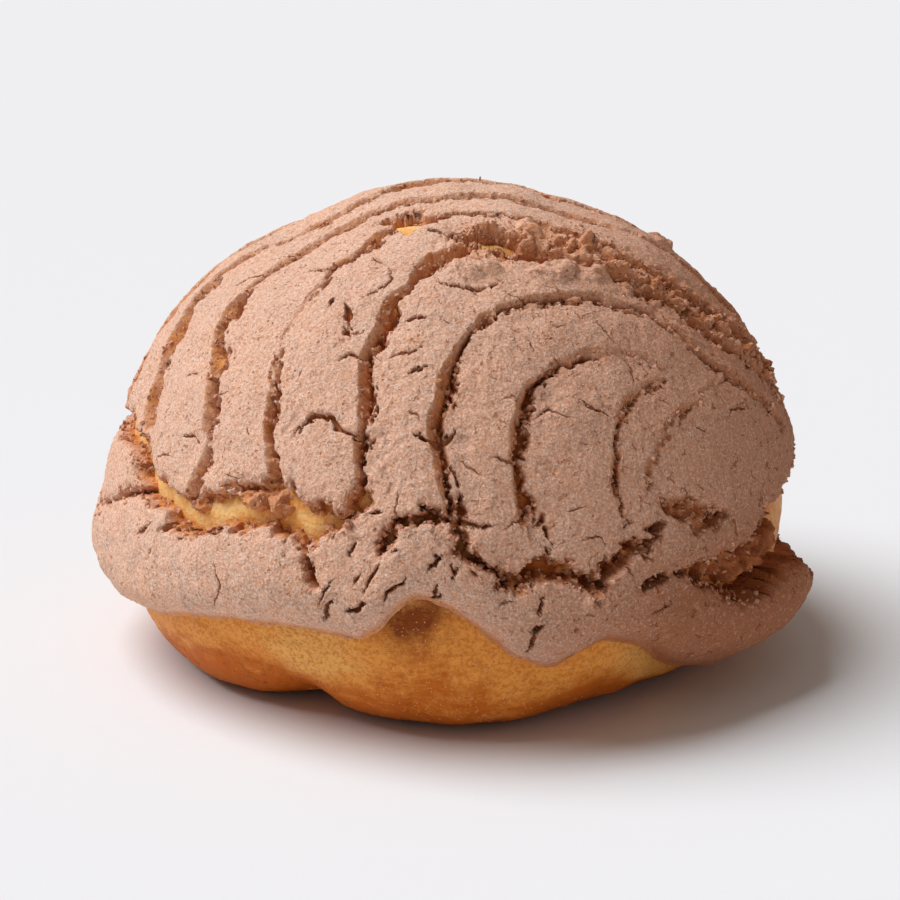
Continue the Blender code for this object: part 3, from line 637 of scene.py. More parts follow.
def crust_relief(longitude, polar, sizes):
    """The crust's outer radius at each place, and the values that its colours follow."""
    points = direction(longitude, polar)
    place = points * CRUST_RADIUS
    edge = edge_polar(longitude)
    dough = bun_radius(longitude, polar)
    inside = crust_inside(longitude, polar)
    full = crust_outside(longitude, polar, sizes.crust_thickness / MM)
    thin = 0.86 - 0.34 * bell(turn_between(longitude, FLARE_LONGITUDE), 26)
    top = full - (full - inside) * thin * np.exp(-np.maximum(edge - polar, 0.0) / 1.7)
    top = top + 0.35 * lattice_noise(place / 13.0, 3) + 0.30 * lattice_noise(place / 5.5, 4)
    band = ramp(-16.0, -8.0, polar - edge)
    top = top + band * 0.30 * layered_noise(place, 6.0, 2, 5)
    pieces, crevice = blocks(place, 2.6, 71)
    bits, seam = blocks(place, 1.15, 73)
    jagged = 1.15 * pieces + 0.6 * bits + 0.2 * lattice_noise(place / 0.8, 72)

    depth, foot, wall = cut_grooves(place, points, 1.3 * jagged)
    top = top - depth * sizes.groove_share + wall * (0.7 * bits + 0.35 * lattice_noise(place / 0.7, 19))
    picked, distance, _ = beside(smooth_path(RUBBLE, SAMPLE), points, GROOVE_REACH)
    crumbled = np.zeros(len(points))
    crumbled[picked] = bell(distance, 3.6)
    rubble = pieces + 0.8 * bits + 0.4 * layered_noise(place, 1.6, 2, 62)
    rubble = rubble - 0.7 * (1 - ramp(0.0, 0.3, crevice))
    top = top + 1.25 * crumbled * rubble
    lifted = stand(place, points, CRAGS, 0.22)
    top = top + lifted * (1 + 0.5 * pieces + 0.35 * bits)

    broken, deep, rim = open_fissures(place, points, jagged)
    away, wide, chip = cut_cracks(points, 0.5 * pieces + bits)
    top = top - 0.35 * rim * (1 - broken) + 0.12 * layered_noise(place, 1.6, 3, 90)
    top = top + 0.09 * lattice_noise(place / 0.6, 95)
    left = stand(place, points, REMNANTS, 0.35)
    floor = dough - OVERLAP + (1.1 + 0.7 * pieces + 0.5 * bits) * left
    floor = floor + swelling(points) * np.minimum(left, 1.0) + 0.35 * lattice_noise(place / 1.4, 96)
    whole = np.maximum(top - floor, 0.0)
    step = np.minimum(whole, 1.7 + 0.9 * pieces + 0.5 * bits)
    radius = top - step * broken - (whole - step) * deep
    shallow = np.maximum(floor, dough + 0.25 + 0.5 * lattice_noise(place / 3.0, 97))
    radius = radius - np.maximum(radius - shallow, 0.0) * foot
    radius = radius - np.maximum(radius - shallow, 0.0) * chip
    radius = np.maximum(radius, dough - OVERLAP - 0.2)
    inner = np.maximum(broken, deep)
    lip = ramp(50, 60, turn_between(longitude, 0)) * (1 - ramp(120, 140, longitude % 360))
    lip = lip * ramp(78, 84, polar)
    # Real toasting plus painted shade: the paste darkens on the right side, away from the key light, and on
    # the band there.
    toasted = toast_and_shade(longitude, polar)
    crumbly = 0.22 * wall + 0.1 * rim * (1 - inner) + 0.3 * inner * (1 - 0.7 * deep) + 0.2 * crumbled
    sugary = (1 - np.minimum(toasted, 1)) * (1 - inner) * band
    sugary = sugary * (0.3 + 0.7 * bell(turn_between(longitude, 10), 40))
    return radius, {
        "sunk": np.clip((full - radius) / 3.0, 0.0, 1.0),
        "wall": np.maximum(np.maximum(wall, inner), crumbled * (1 - crevice)),
        "gap": foot * (1 - inner),
        "crack_away": away,
        "crack_half": wide,
        "raised": np.clip(0.5 * rim * (1 - inner) + lifted / 2.5 + 0.4 * crumbled, 0, 1),
        "toasted": toasted,
        "crumbly": (1 - lip) * np.clip(crumbly, 0, 1),
        "skirt": band,
        "sugary": sugary * ramp(-0.3, 0.4, lattice_noise(place / 9.0, 55)),
    }


def toast_and_shade(longitude, polar):
    """How much darker the paste is, from 0 to 1: real toasting plus painted shade, most on the right side."""
    side = bell(turn_between(longitude, 92), 79) * ramp(8, 50, polar)
    under = ramp(-12, 50, turn_between(longitude, 0)) * (1 - ramp(110, 150, longitude % 360))
    return np.clip(side + 0.75 * (under * ramp(72, 92, polar)), 0, 1.2)


def columns_at(polar):
    """Fewer columns near the top, where they run together."""
    count = COLUMNS
    for limit in (0.55, 0.28, 0.14, 0.07):
        if math.sin(math.radians(min(polar, 90.0))) < limit:
            count //= 2
    return count


def longitudes(count):
    turns = 360.0 * np.arange(count) / count
    return turns - FRONT_CROWDING * np.sin(np.radians(turns))


def strip(upper, lower):
    """Triangles between two rings of vertex numbers, of which one may have twice as many as the other."""
    if len(upper) == len(lower):
        up, low = np.roll(upper, -1), np.roll(lower, -1)
        return np.concatenate((np.stack((upper, lower, low), 1), np.stack((upper, low, up), 1)))
    if len(lower) == 2 * len(upper):
        up, even, odd, after = np.roll(upper, -1), lower[::2], lower[1::2], np.roll(lower[::2], -1)
        faces = ((upper, even, odd), (upper, odd, up), (up, odd, after))
        return np.concatenate([np.stack(face, 1) for face in faces])
    if len(upper) == 2 * len(lower):
        low, even, odd, after = np.roll(lower, -1), upper[::2], upper[1::2], np.roll(upper[::2], -1)
        faces = ((even, lower, odd), (odd, lower, low), (odd, low, after))
        return np.concatenate([np.stack(face, 1) for face in faces])
    raise ValueError(f"rings of {len(upper)} and {len(lower)} can't be joined")


def fan(pole, ring, downwards):
    after = np.roll(ring, -1)
    middle = np.full(len(ring), pole)
    return np.stack((middle, ring, after) if downwards else (middle, after, ring), 1)


class Shell:
    """Rings of vertices with their places and values, and the triangles between them."""

    def __init__(self):
        self.places, self.values, self.count = [], [], 0

    def add(self, places, values):
        """Takes points in mm from the dome's centre, and returns their vertex numbers."""
        self.places.append(places)
        self.values.append(values)
        self.count += len(places)
        return np.arange(self.count - len(places), self.count)

    def points(self):
        points = np.concatenate(self.places) + np.array((*DOME_CENTRE, CENTRE_HEIGHT))
        return points * MM


def corner_normals(points, faces):
    a, b, c = points[faces[:, 0]], points[faces[:, 1]], points[faces[:, 2]]
    flat = np.cross(b - a, c - a)
    normals = np.zeros_like(points)
    for corner in range(3):
        for axis in range(3):
            normals[:, axis] += np.bincount(faces[:, corner], flat[:, axis], len(points))
    return normals / np.maximum(np.linalg.norm(normals, axis=1, keepdims=True), 1e-12)


def nothing(values, count):
    return {key: np.zeros(count) for key in values}


def hidden_ring(shell, share, count, depth, values):
    """A ring inside the dough, at that share of the way to the crust's edge and that depth in mm."""
    a = longitudes(count)
    p = edge_polar(a) * share
    return shell.add(direction(a, p) * (bun_radius(a, p) - OVERLAP - depth)[:, None], nothing(values, count))


def sink(shell, share, ring, values):
    """A wall from a ring of the crust's face down into the dough, with half the columns at each step."""
    faces, count = [], len(ring)
    for depth in WALL_DEPTHS:
        lower = hidden_ring(shell, share, count, depth, values)
        faces.append(strip(ring, lower))
        ring, count = lower, max(count // 2, INNER_COLUMNS)
    return np.concatenate(faces), ring


def roll_edge(shell, a, p, high, values, ring):
    """Rolls the crust's edge round to its inside and up into the dough, with fewer and fewer columns."""
    faces = []
    low = np.minimum(crust_inside(a, p), high - 0.5)
    for step in range(1, ROLL_STEPS + 1):
        turn = math.pi * step / ROLL_STEPS
        half = (high - low) / 2
        sag = np.degrees(half * math.sin(turn) / high)
        lower = shell.add(direction(a, p + sag) * (high - half + half * math.cos(turn))[:, None], values)
        faces.append(strip(ring, lower))
        ring = lower
    count = len(a)
    for rise in ROLL_RISES:
        count = max(count // 2, INNER_COLUMNS)
        a = longitudes(count)
        p = edge_polar(a) - rise
        lower = shell.add(direction(a, p) * crust_inside(a, p)[:, None], nothing(values, count))
        faces.append(strip(ring, lower))
        ring = lower
    lower = hidden_ring(shell, INNER_SHARE, INNER_COLUMNS, DEEPEST, values)
    return np.concatenate((*faces, strip(ring, lower))), lower


def make_piece(name, points, faces, values, normals=None):
    """A mesh object from arrays, with only the vertices that its faces use."""
    used, faces = np.unique(faces, return_inverse=True)
    faces = faces.reshape(-1, 3)
    mesh = bpy.data.meshes.new(name)
    mesh.vertices.add(len(used))
    mesh.vertices.foreach_set("co", points[used].astype(np.float32).ravel())
    mesh.loops.add(faces.size)
    mesh.loops.foreach_set("vertex_index", faces.astype(np.int32).ravel())
    mesh.polygons.add(len(faces))
    mesh.polygons.foreach_set("loop_start", np.arange(0, faces.size, 3, dtype=np.int32))
    mesh.update(calc_edges=True)
    mesh.validate()
    for key, numbers in values.items():
        layer = mesh.attributes.new(key, "FLOAT", "POINT")
        layer.data.foreach_set("value", numbers[used].astype(np.float32))
    mesh.shade_smooth()
    if normals is not None:
        mesh.normals_split_custom_set_from_vertices(normals[used])
    piece = bpy.data.objects.new(name, mesh)
    bpy.context.scene.collection.objects.link(piece)
    return piece


def remove_old(*names):
    for name in names:
        if name in bpy.data.objects:
            bpy.data.objects.remove(bpy.data.objects[name])


def settle(piece, node):
    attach(piece, "root")
    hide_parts(node)


class Wire:
    """A socket that takes part in sums: an expression on wires adds the Math nodes that work it out."""

    def __init__(self, making, socket):
        self.making, self.socket = making, socket

    def maths(self, operation, *others):
        return self.making.node("Math", {"operation": operation}, numbered=enumerate((self, *others)))

    def __add__(self, other):
        return self.maths("ADD", other)

    __radd__ = __add__

    def __mul__(self, other):
        return self.maths("MULTIPLY", other)

    __rmul__ = __mul__

    def __sub__(self, other):
        return self.maths("SUBTRACT", other)

    def __rsub__(self, other):
        return self.making.node("Math", {"operation": "SUBTRACT"}, numbered=enumerate((other, self)))

    def clear(self, start, end):
        """0 where this is at start, 1 where it is at end, and smooth between."""
        return self.making.node(
            "MapRange", {"interpolation_type": "SMOOTHSTEP"}, "Result", Value=self, From_Min=start,
            From_Max=end)


class Making:
    """A node tree being made."""

    def join(self, value, socket):
        if isinstance(value, Wire):
            self.tree.links.new(value.socket, socket)
        else:
            socket.default_value = value

    def node(self, kind, settings=None, output=0, numbered=(), **named):
        """Adds any node: its settings first, then the values or links of its sockets by number or by name."""
        node = self.tree.nodes.new(kind if "Node" in kind else "ShaderNode" + kind)
        for key, value in (settings or {}).items():
            setattr(node, key, value)
        for number, value in numbered:
            self.join(value, node.inputs[number])
        for name, value in named.items():
            self.join(value, node.inputs[name.replace("_", " ")])
        return Wire(self, node.outputs[output]) if node.outputs else None


class Finish(Making):
    """A material being made, from its shader up."""

    def __init__(self, name):
        self.material = bpy.data.materials.new(name)
        self.material.use_nodes = True
        self.tree = self.material.node_tree
        self.shader = self.tree.nodes["Principled BSDF"]
        self.place = self.node("TexCoord", output="Object")

    def share(self, name):
        return self.node("Attribute", {"attribute_name": name}, "Fac")

    def noise(self, size, detail=3.0, roughness=0.6, vector=None):
        """Noise with waves of that size in mm."""
        return self.node(
            "TexNoise", output="Fac", Vector=vector or self.place, Scale=1.0 / (size * MM), Detail=detail,
            Roughness=roughness)

    def warped(self, size, height):
        """Object coordinates pushed about by noise with waves of that size and height in mm."""
        push = self.node("TexNoise", output="Color", Vector=self.place, Scale=1.0 / (size * MM), Detail=2.0)
        moved = self.node("VectorMath", {"operation": "SCALE"}, Vector=push, Scale=height * MM)
        return self.node("VectorMath", {"operation": "ADD"}, numbered=enumerate((self.place, moved)))

    def grains(self, size, share, vector=None):
        """Round grains of that size in mm, in that share of all places: 1 in a grain's middle."""
        cells = {"Vector": vector or self.place, "Scale": 1.0 / (size * MM)}
        near = self.node("TexVoronoi", {"feature": "F1"}, "Distance", **cells)
        tint = self.node("TexVoronoi", None, "Color", **cells)
        picked = self.node("SeparateColor", None, "Red", Color=tint)
        return near.clear(0.42, 0.22) * picked.clear(1.0 - share, 1.0 - share + 0.03)

    def mix(self, share, first, second):
        """A colour mix: the first colour where the share is 0, the second where it is 1."""
        return self.node("Mix", {"data_type": "RGBA"}, 2, ((0, share), (6, first), (7, second)))

    def feed(self, name, value):
        self.join(value, self.shader.inputs[name])

    def bump(self, height):
        """Shapes the surface by a height in metres."""
        self.feed("Normal", self.node("Bump", output="Normal", Height=height, Distance=1.0, Strength=1.0))


def paste_finish(finish):
    """Baked sugar paste: sandy grains of two tints, pits, jagged cracks, and browned walls and floors."""
    made = Finish("sugar paste")
    sunk, wall, gap = (made.share(name) for name in ("sunk", "wall", "gap"))
    raised, toasted, half = (made.share(name) for name in ("raised", "toasted", "crack_half"))
    broad, patch = made.noise(10.0, 2.0), made.noise(3.0, 4.0, 0.65)
    sand, speck = made.noise(0.36, 2.0, 0.8), made.noise(0.95, 3.0, 0.7)
    colour = made.mix(broad.clear(0.38, 0.66), finish.paste_cool, finish.paste_warm)
    risen = (patch.clear(0.48, 0.68) * 0.55 + raised * 0.5).maths("MINIMUM", 1.0)
    colour = made.mix(risen, colour, finish.paste_salmon)
    colour = made.mix(patch.clear(0.52, 0.40) * made.share("skirt") * 0.5, colour, finish.paste_grey)
    # Painted shade on the right side, with real toasting: browner paste, fewer light grains and less sugar
    # there.
    colour = made.mix(toasted * 0.85, colour, finish.paste_toast_and_shade)
    colour = made.mix(sand.clear(0.50, 0.62) * (0.7 - toasted * 0.48), colour, finish.paste_light)
    colour = made.mix(sand.clear(0.48, 0.34) * 0.5, colour, finish.paste_dark)
    colour = made.mix(speck.clear(0.55, 0.68) * 0.4, colour, finish.paste_salmon)
    colour = made.mix(speck.clear(0.42, 0.30) * 0.3, colour, finish.paste_dark)
    sugar = made.grains(0.46, 0.17)
    colour = made.mix(sugar * 0.6 * (1.0 - toasted * 0.5), colour, finish.sugar)

    warped = made.warped(0.9, 0.5)
    pits = made.grains(0.62, 0.10, warped) + made.noise(0.6, 1.0, 0.5).clear(0.335, 0.30)
    pits = pits.maths("MINIMUM", 1.0) * made.noise(4.0, 2.0).clear(0.42, 0.56)
    seams = made.node(
        "TexVoronoi", {"feature": "DISTANCE_TO_EDGE"}, "Distance", Vector=made.warped(1.3, 1.5),
        Scale=1.0 / (3.4 * MM))
    hair = seams.clear(0.04, 0.016) * made.noise(2.4, 2.0).clear(0.58, 0.64) * (0.35 + toasted)
    shift = (made.noise(0.55, 3.0, 0.7) - 0.5) * 0.5
    away = (made.share("crack_away") + shift).maths("ABSOLUTE")
    cracked = (away - half).clear(0.03, -0.06)
    colour = made.mix(pits * 0.75, colour, finish.crack_wall)
    colour = made.mix((hair * 0.75).maths("MINIMUM", 0.8), colour, finish.crack)

    floor = sunk.clear(0.5, 1.0)
    tint = made.mix(made.noise(1.4, 3.0).clear(0.36, 0.64), finish.crack_wall, finish.crack_floor)
    # On the right side the walls and floors darken towards the crack tint, partly as painted shade.
    tint = made.mix(toasted * 0.65, tint, finish.crack)
    browned = (wall * 0.75 + floor * 0.7).maths("MINIMUM", 1.0) * (0.7 + 0.7 * patch)
    colour = made.mix(browned.maths("MINIMUM", 1.0), colour, tint)
    core = (away - half).clear(0.0, -0.3) * half.clear(0.18, 0.32)
    colour = made.mix(core * 0.9, made.mix(cracked * 0.85, colour, finish.crack), tint)
    colour = made.mix(gap * 0.6, colour, finish.crack)
    made.feed("Base Color", colour)
    made.feed("Roughness", 0.92 - sugar * 0.3 - floor * 0.2)
    height = sand * 0.00018 + speck * 0.00024 + patch * 0.00032 - pits * 0.0003 - hair * 0.0002
    made.bump(height - cracked * 0.00025 + sugar * 0.00008)
    made.feed("Specular IOR Level", 0.25)
    return made.material


def dough_finish(finish):
    """Baked dough: golden in the splits, orange brown with dark freckles where bare, paler by the crust."""
    made = Finish("baked dough")
    bare, baked, pale, scorched_and_shaded = (made.share(name) for name in ("bare", "baked", "pale", "scorched_and_shaded"))
    broad, patch, fine = made.noise(9.0, 3.0), made.noise(3.4, 4.0, 0.65), made.noise(0.6, 3.0, 0.75)
    lying = enumerate((made.place, STREAK_SHARES))
    streak = made.noise(3.0, 5.0, 0.65, made.node("VectorMath", {"operation": "MULTIPLY"}, numbered=lying))
    gold = made.mix((patch + (fine - 0.5) * 1.1).clear(0.38, 0.62), finish.dough_gold, finish.dough_amber)
    gold = made.mix(streak.clear(0.52, 0.64) * 0.75, gold, finish.dough_orange)
    browned = (baked + (streak - 0.5) * 1.8 + (patch - 0.5) * 1.6).clear(0.0, 1.0)
    skin = made.mix(browned, finish.dough_orange, finish.dough_baked)
    paler = (pale + (streak - 0.5) * 1.6).clear(0.3, 0.9) * pale.clear(0.05, 0.3)
    skin = made.mix(paler, skin, finish.dough_pale)
    skin = made.mix(fine.clear(0.48, 0.58) * 0.5, skin, finish.dough_baked)
    freckles = made.noise(1.0, 4.0, 0.7).clear(0.53, 0.64) * broad.clear(0.38, 0.54)
    # Painted shade: the golden dough in the splits turns baked brown towards the right side, away from the
    # key light.
    gold = made.mix((made.share("shaded") * (0.5 + patch)).maths("MINIMUM", 1.0), gold, finish.dough_baked)
    colour = made.mix(bare, gold, skin)
    # Dark spots: real freckles and scorch, plus painted shade in the front fissure and towards the floor.
    dark = scorched_and_shaded * (patch * 3.0 - 0.6) + freckles * baked * 0.7
    colour = made.mix((dark * 0.85).maths("MINIMUM", 0.95).maths("MAXIMUM", 0.0), colour, finish.dough_dark)
    made.feed("Base Color", colour)
    made.feed("Roughness", 0.36 + fine * 0.3)
    made.bump(fine * 0.00026 + streak * 0.0006 + made.noise(0.35, 2.0) * 0.00014)
    made.feed("Specular IOR Level", 0.14)
    made.feed("Subsurface Weight", 0.08)
    made.feed("Subsurface Scale", 0.0015)
    made.feed("Subsurface Radius", (1.0, 0.4, 0.1))
    return made.material


def crumb_finish(finish):
    """Crumbs of paste: pinkish brown, some browned and some with sugar on them."""
    made = Finish("paste crumbs")
    tint, fine = made.noise(2.2, 2.0), made.noise(0.25, 2.0, 0.8)
    colour = made.mix(tint.clear(0.30, 0.70), finish.paste_salmon, finish.paste_toast_and_shade)
    colour = made.mix(fine.clear(0.46, 0.66) * 0.35, colour, finish.paste_light)
    made.feed("Base Color", colour)
    made.feed("Roughness", 0.85 - fine * 0.1)
    made.bump(fine * 0.00012)
    made.feed("Specular IOR Level", 0.3)
    return made.material


def sugar_finish(finish):
    """Grains of sugar, tinted between the salmon of the paste and the amber of the dough."""
    made = Finish("sugar grains")
    cloud = made.noise(1.2, 2.0)
    made.feed("Base Color", made.mix(cloud.clear(0.35, 0.6), finish.paste_salmon, finish.dough_amber))
    made.feed("Roughness", 0.45 + cloud * 0.3)
    made.feed("Specular IOR Level", 0.35)
    return made.material


class Scatter(Making):
    """A tree of Geometry Nodes that scatters small shapes over a mesh, densest where an attribute is 1."""

    INPUTS = {
        "Geometry": "Geometry", "Density": "Float", "Smallest": "Float", "Largest": "Float", "Seed": "Int",
        "Material": "Material",
    }

    def __init__(self, shape, attribute):
        self.tree = bpy.data.node_groups.new("scatter " + shape, "GeometryNodeTree")
        face = self.tree.interface
        self.names = {}
        for name, kind in self.INPUTS.items():
            item = face.new_socket(name=name, in_out="INPUT", socket_type="NodeSocket" + kind)
            self.names[name] = item.identifier
        face.new_socket(name="Geometry", in_out="OUTPUT", socket_type="NodeSocketGeometry")
        given = self.node("NodeGroupInput").socket.node
        source, density, smallest, largest, seed, material = (
            Wire(self, given.outputs[name]) for name in self.names)
        share = self.node(
            "GeometryNodeInputNamedAttribute", {"data_type": "FLOAT"}, "Attribute", Name=attribute)
        points = self.node(
            "GeometryNodeDistributePointsOnFaces", Mesh=source, Density=density * share, Seed=seed)
        size = self.random(smallest, largest, seed + 1)
        turn = self.random(0.0, math.tau, seed + 2)
        if shape == "crumb":
            grain = self.node("GeometryNodeMeshIcoSphere", Radius=0.5, Subdivisions=1)
        else:
            grain = self.node("GeometryNodeMeshCube", Size=(1.0, 1.0, 1.0))
        turned = self.node("FunctionNodeEulerToRotation", Euler=turn)
        placed = self.node(
            "GeometryNodeInstanceOnPoints", Points=points, Instance=grain, Scale=size, Rotation=turned)
        shapes = self.node("GeometryNodeRealizeInstances", Geometry=placed)
        push = self.node(
            "TexNoise", output="Color", Vector=self.node("GeometryNodeInputPosition"),
            Scale=1.0 / (GRAIN_WAVES * MM), Detail=1.0)
        middle = (0.5, 0.5, 0.5)
        centred = self.node("VectorMath", {"operation": "SUBTRACT"}, numbered=enumerate((push, middle)))
        height = largest * UNEVENNESS[shape]
        offset = self.node("VectorMath", {"operation": "SCALE"}, Vector=centred, Scale=height)
        shapes = self.node("GeometryNodeSetPosition", Geometry=shapes, Offset=offset)
        shapes = self.node("GeometryNodeSetShadeSmooth", Geometry=shapes, Shade_Smooth=False)
        shapes = self.node("GeometryNodeSetMaterial", Geometry=shapes, Material=material)
        self.node("NodeGroupOutput", Geometry=shapes)

    def random(self, low, high, seed):
        """A random vector for each point, each of its numbers between low and high."""
        limits = (value if isinstance(value, Wire) else (value,) * 3 for value in (low, high))
        return self.node(
            "FunctionNodeRandomValue", {"data_type": "FLOAT_VECTOR"}, numbered=enumerate(limits), Seed=seed)

    def grow(self, source, name, **values):
        """A mesh object with what the tree scatters over the source piece."""
        piece = bpy.data.objects.new(name, source.data)
        bpy.context.scene.collection.objects.link(piece)
        modifier = piece.modifiers.new("scatter", "NODES")
        modifier.node_group = self.tree
        for key, value in values.items():
            modifier[self.names[key]] = value
        made = piece.evaluated_get(bpy.context.evaluated_depsgraph_get())
        mesh = bpy.data.meshes.new_from_object(made)
        piece.modifiers.clear()
        piece.data = mesh
        mesh.name = name
        return piece


def length(name, text, default):
    return bpy.props.FloatProperty(name=name, description=text, default=default, unit="LENGTH", precision=5)


def colour(name, text, default):
    return bpy.props.FloatVectorProperty(
        name=name, description=text, default=(*default, 1.0), size=4, subtype="COLOR", min=0.0, max=1.0)


class ConchaSizes(bpy.types.PropertyGroup):
    crust_thickness: length("Crust thickness", "How thick the sugar paste is over the dome", 0.0032)
    groove_share: bpy.props.FloatProperty(
        name="Groove depth", description="Depth of the stamped grooves against their full depth", default=1.0,
        min=0.0, max=1.3, subtype="FACTOR")
    crumb_smallest: length("Smallest crumb", "Size of the smallest paste crumbs", 0.00025)
    crumb_largest: length("Largest crumb", "Size of the largest paste crumbs", 0.0010)
    grain_smallest: length("Smallest grain", "Size of the smallest sugar grains", 0.00009)
    grain_largest: length("Largest grain", "Size of the largest sugar grains", 0.0002)
    crumbs: bpy.props.FloatProperty(
        name="Crumbs", description="Crumbs to a square centimetre of broken paste", default=260.0, min=0.0)
    grains: bpy.props.FloatProperty(
        name="Sugar grains", description="Sugar grains to a square centimetre where most lie", default=70.0,
        min=0.0)


class ConchaFinish(bpy.types.PropertyGroup):
    paste_cool: colour("Paste, greyer", "Base tint of the sugar paste", (0.76, 0.455, 0.32))
    paste_warm: colour("Paste, warmer", "Second base tint of the sugar paste", (0.80, 0.455, 0.305))
    paste_salmon: colour("Paste, salmon", "Tint of raised and baked spots", (0.80, 0.41, 0.25))
    # Also the tint of the painted shade on the paste's right side, besides its real toasting.
    paste_toast_and_shade: colour("Paste, toasted", "Tint of the paste where it baked darker", (0.375, 0.132, 0.055))
    paste_grey: colour("Paste, grey", "Greyer patches of the band", (0.55, 0.37, 0.28))
    paste_light: colour("Paste, light grain", "Tint of the light grains", (0.90, 0.69, 0.56))
    paste_dark: colour("Paste, dark grain", "Tint of the dark grains", (0.40, 0.19, 0.11))
    sugar: colour("Sugar", "Tint of single sugar grains in the paste", (0.86, 0.76, 0.68))
    crack: colour("Cracks", "Tint of thin cracks", (0.37, 0.10, 0.03))
    crack_wall: colour("Crack walls", "Tint of broken walls of the paste", (0.62, 0.22, 0.085))
    crack_floor: colour("Crack floors", "Tint of the floors of grooves", (0.74, 0.31, 0.085))
    dough_gold: colour("Dough, gold", "Golden dough in the splits", (1.0, 0.64, 0.27))
    dough_amber: colour("Dough, amber", "Amber dough in the splits", (0.97, 0.47, 0.13))
    dough_orange: colour("Dough, orange", "Orange skin of the bare dough", (0.94, 0.385, 0.075))
    # Also the tint of the painted shade on the golden dough towards the right side.
    dough_baked: colour("Dough, baked", "Orange-brown baked skin", (0.60, 0.14, 0.008))
    # Also the tint of the painted shade in the front fissure and towards the floor.
    dough_dark: colour("Dough, dark", "Dark baked spots", (0.25, 0.05, 0.006))
    dough_pale: colour("Dough, pale", "Pale dough beside the crust", (0.95, 0.48, 0.125))


class CONCHA_OT_make_dough(bpy.types.Operator):
    """Make the baked dough under the crust"""

    bl_idname = "concha.make_dough"
    bl_label = "Make the dough"

    def execute(self, context):
        remove_old("dough")
        rings = [(np.zeros(1), np.zeros(1))]
        for row in range(1, DOUGH_ROWS[0] + 1):
            share = row / DOUGH_ROWS[0]
            a = longitudes(columns_at(USUAL_EDGE * share) // 2)
            rings.append((a, edge_polar(a) * share))
        a = longitudes(COLUMNS // 2)
        edge = edge_polar(a)
        foot = 180.0 - np.degrees(np.arctan2(round_curve(BASE_OUTLINE, a), CENTRE_HEIGHT))
        rings += [(a, edge + (foot - edge) * row / DOUGH_ROWS[1]) for row in range(1, DOUGH_ROWS[1] + 1)]
        around, polars = (np.concatenate(part) for part in zip(*rings))
        points = direction(around, polars)
        place = points * CRUST_RADIUS
        bare = ramp(74.0, 88.0, polars)
        radius = bun_radius(around, polars) - 0.4 * bare + 0.22 * layered_noise(place, 7.0, 4, 21)
        waves = 0.45 * lattice_noise(place / 10.0, 25) + 0.10 * layered_noise(place, 2.2, 2, 27)
        radius = radius + bare * waves
        radius = radius + 0.35 * (1 - bare) * np.abs(layered_noise(place, 2.6, 2, 29))
        radius = radius + swelling(points) * (1 - bell(turn_between(around, 56), 12))
        places = points * radius[:, None]
        places[:, 2] = np.maximum(places[:, 2], -CENTRE_HEIGHT)
        places[-len(a):, 2] = -CENTRE_HEIGHT

        shell, faces, start, last = Shell(), [], 0, None
        for around_ring, _ in rings:
            ring = shell.add(places[start : start + len(around_ring)], None)
            start += len(ring)
            if last is not None:
                faces.append(fan(last[0], ring, True) if len(last) == 1 else strip(last, ring))
            last = ring
        middle = shell.add(np.array([[0, 0, -CENTRE_HEIGHT]]), None)
        faces.append(fan(middle[0], last, False))
        values = self.tints(np.append(around, 0.0), np.append(polars, 180.0))
        piece = make_piece("dough", shell.points(), np.concatenate(faces), values)
        piece.data.materials.append(dough_finish(context.scene.concha_finish))
        settle(piece, "bun")
        return {"FINISHED"}

    @staticmethod
    def tints(longitude, polar):
        """The shares from 0 to 1 that the dough's colours follow."""
        below = polar - edge_polar(longitude)
        lobe = bell(turn_between(longitude, 2), 21)
        crease = bell(turn_between(longitude, -24), 11) * (1 - ramp(6, 17, below))
        right = bell(turn_between(longitude, 38), 12) * (1 - ramp(4, 11, below)) * ramp(90, 96, polar)
        opening = bell(turn_between(longitude, 100), 34) * (1 - ramp(92, 97, polar))
        return {
            "bare": ramp(80, 88, polar) * (1 - opening),
            # Painted shade on the golden dough in the splits, growing towards the right side.
            "shaded": ramp(-8, 22, turn_between(longitude, 0)) * (1 - opening) * ramp(20, 40, polar),
            "sugary": lobe * ramp(1, 4, below) * (1 - ramp(100, 114, polar)),
            "baked": np.clip(0.1 * lobe + 0.9 * ramp(100, 120, polar) + 0.5 * ramp(3, 14, below)
                             + 0.9 * bell(turn_between(longitude, -56), 26) * ramp(2, 11, below)
                             + 0.4 * ramp(8, 22, turn_between(longitude, 0)) * ramp(4, 12, below), 0, 1),
            "pale": np.clip(crease + right, 0, 1),
            # A real dark reddish peak on the front lobe, painted shade of the deep front fissure, and darker
            # towards the floor, partly painted shade.
            "scorched_and_shaded": np.clip(1.2 * bell(turn_between(longitude, -6), 6) * bell(polar - 87, 4.5)
                                + 0.9 * bell(turn_between(longitude, 16), 24) * bell(polar - 77, 5)
                                + 0.75 * ramp(104, 122, polar), 0, 1),
        }


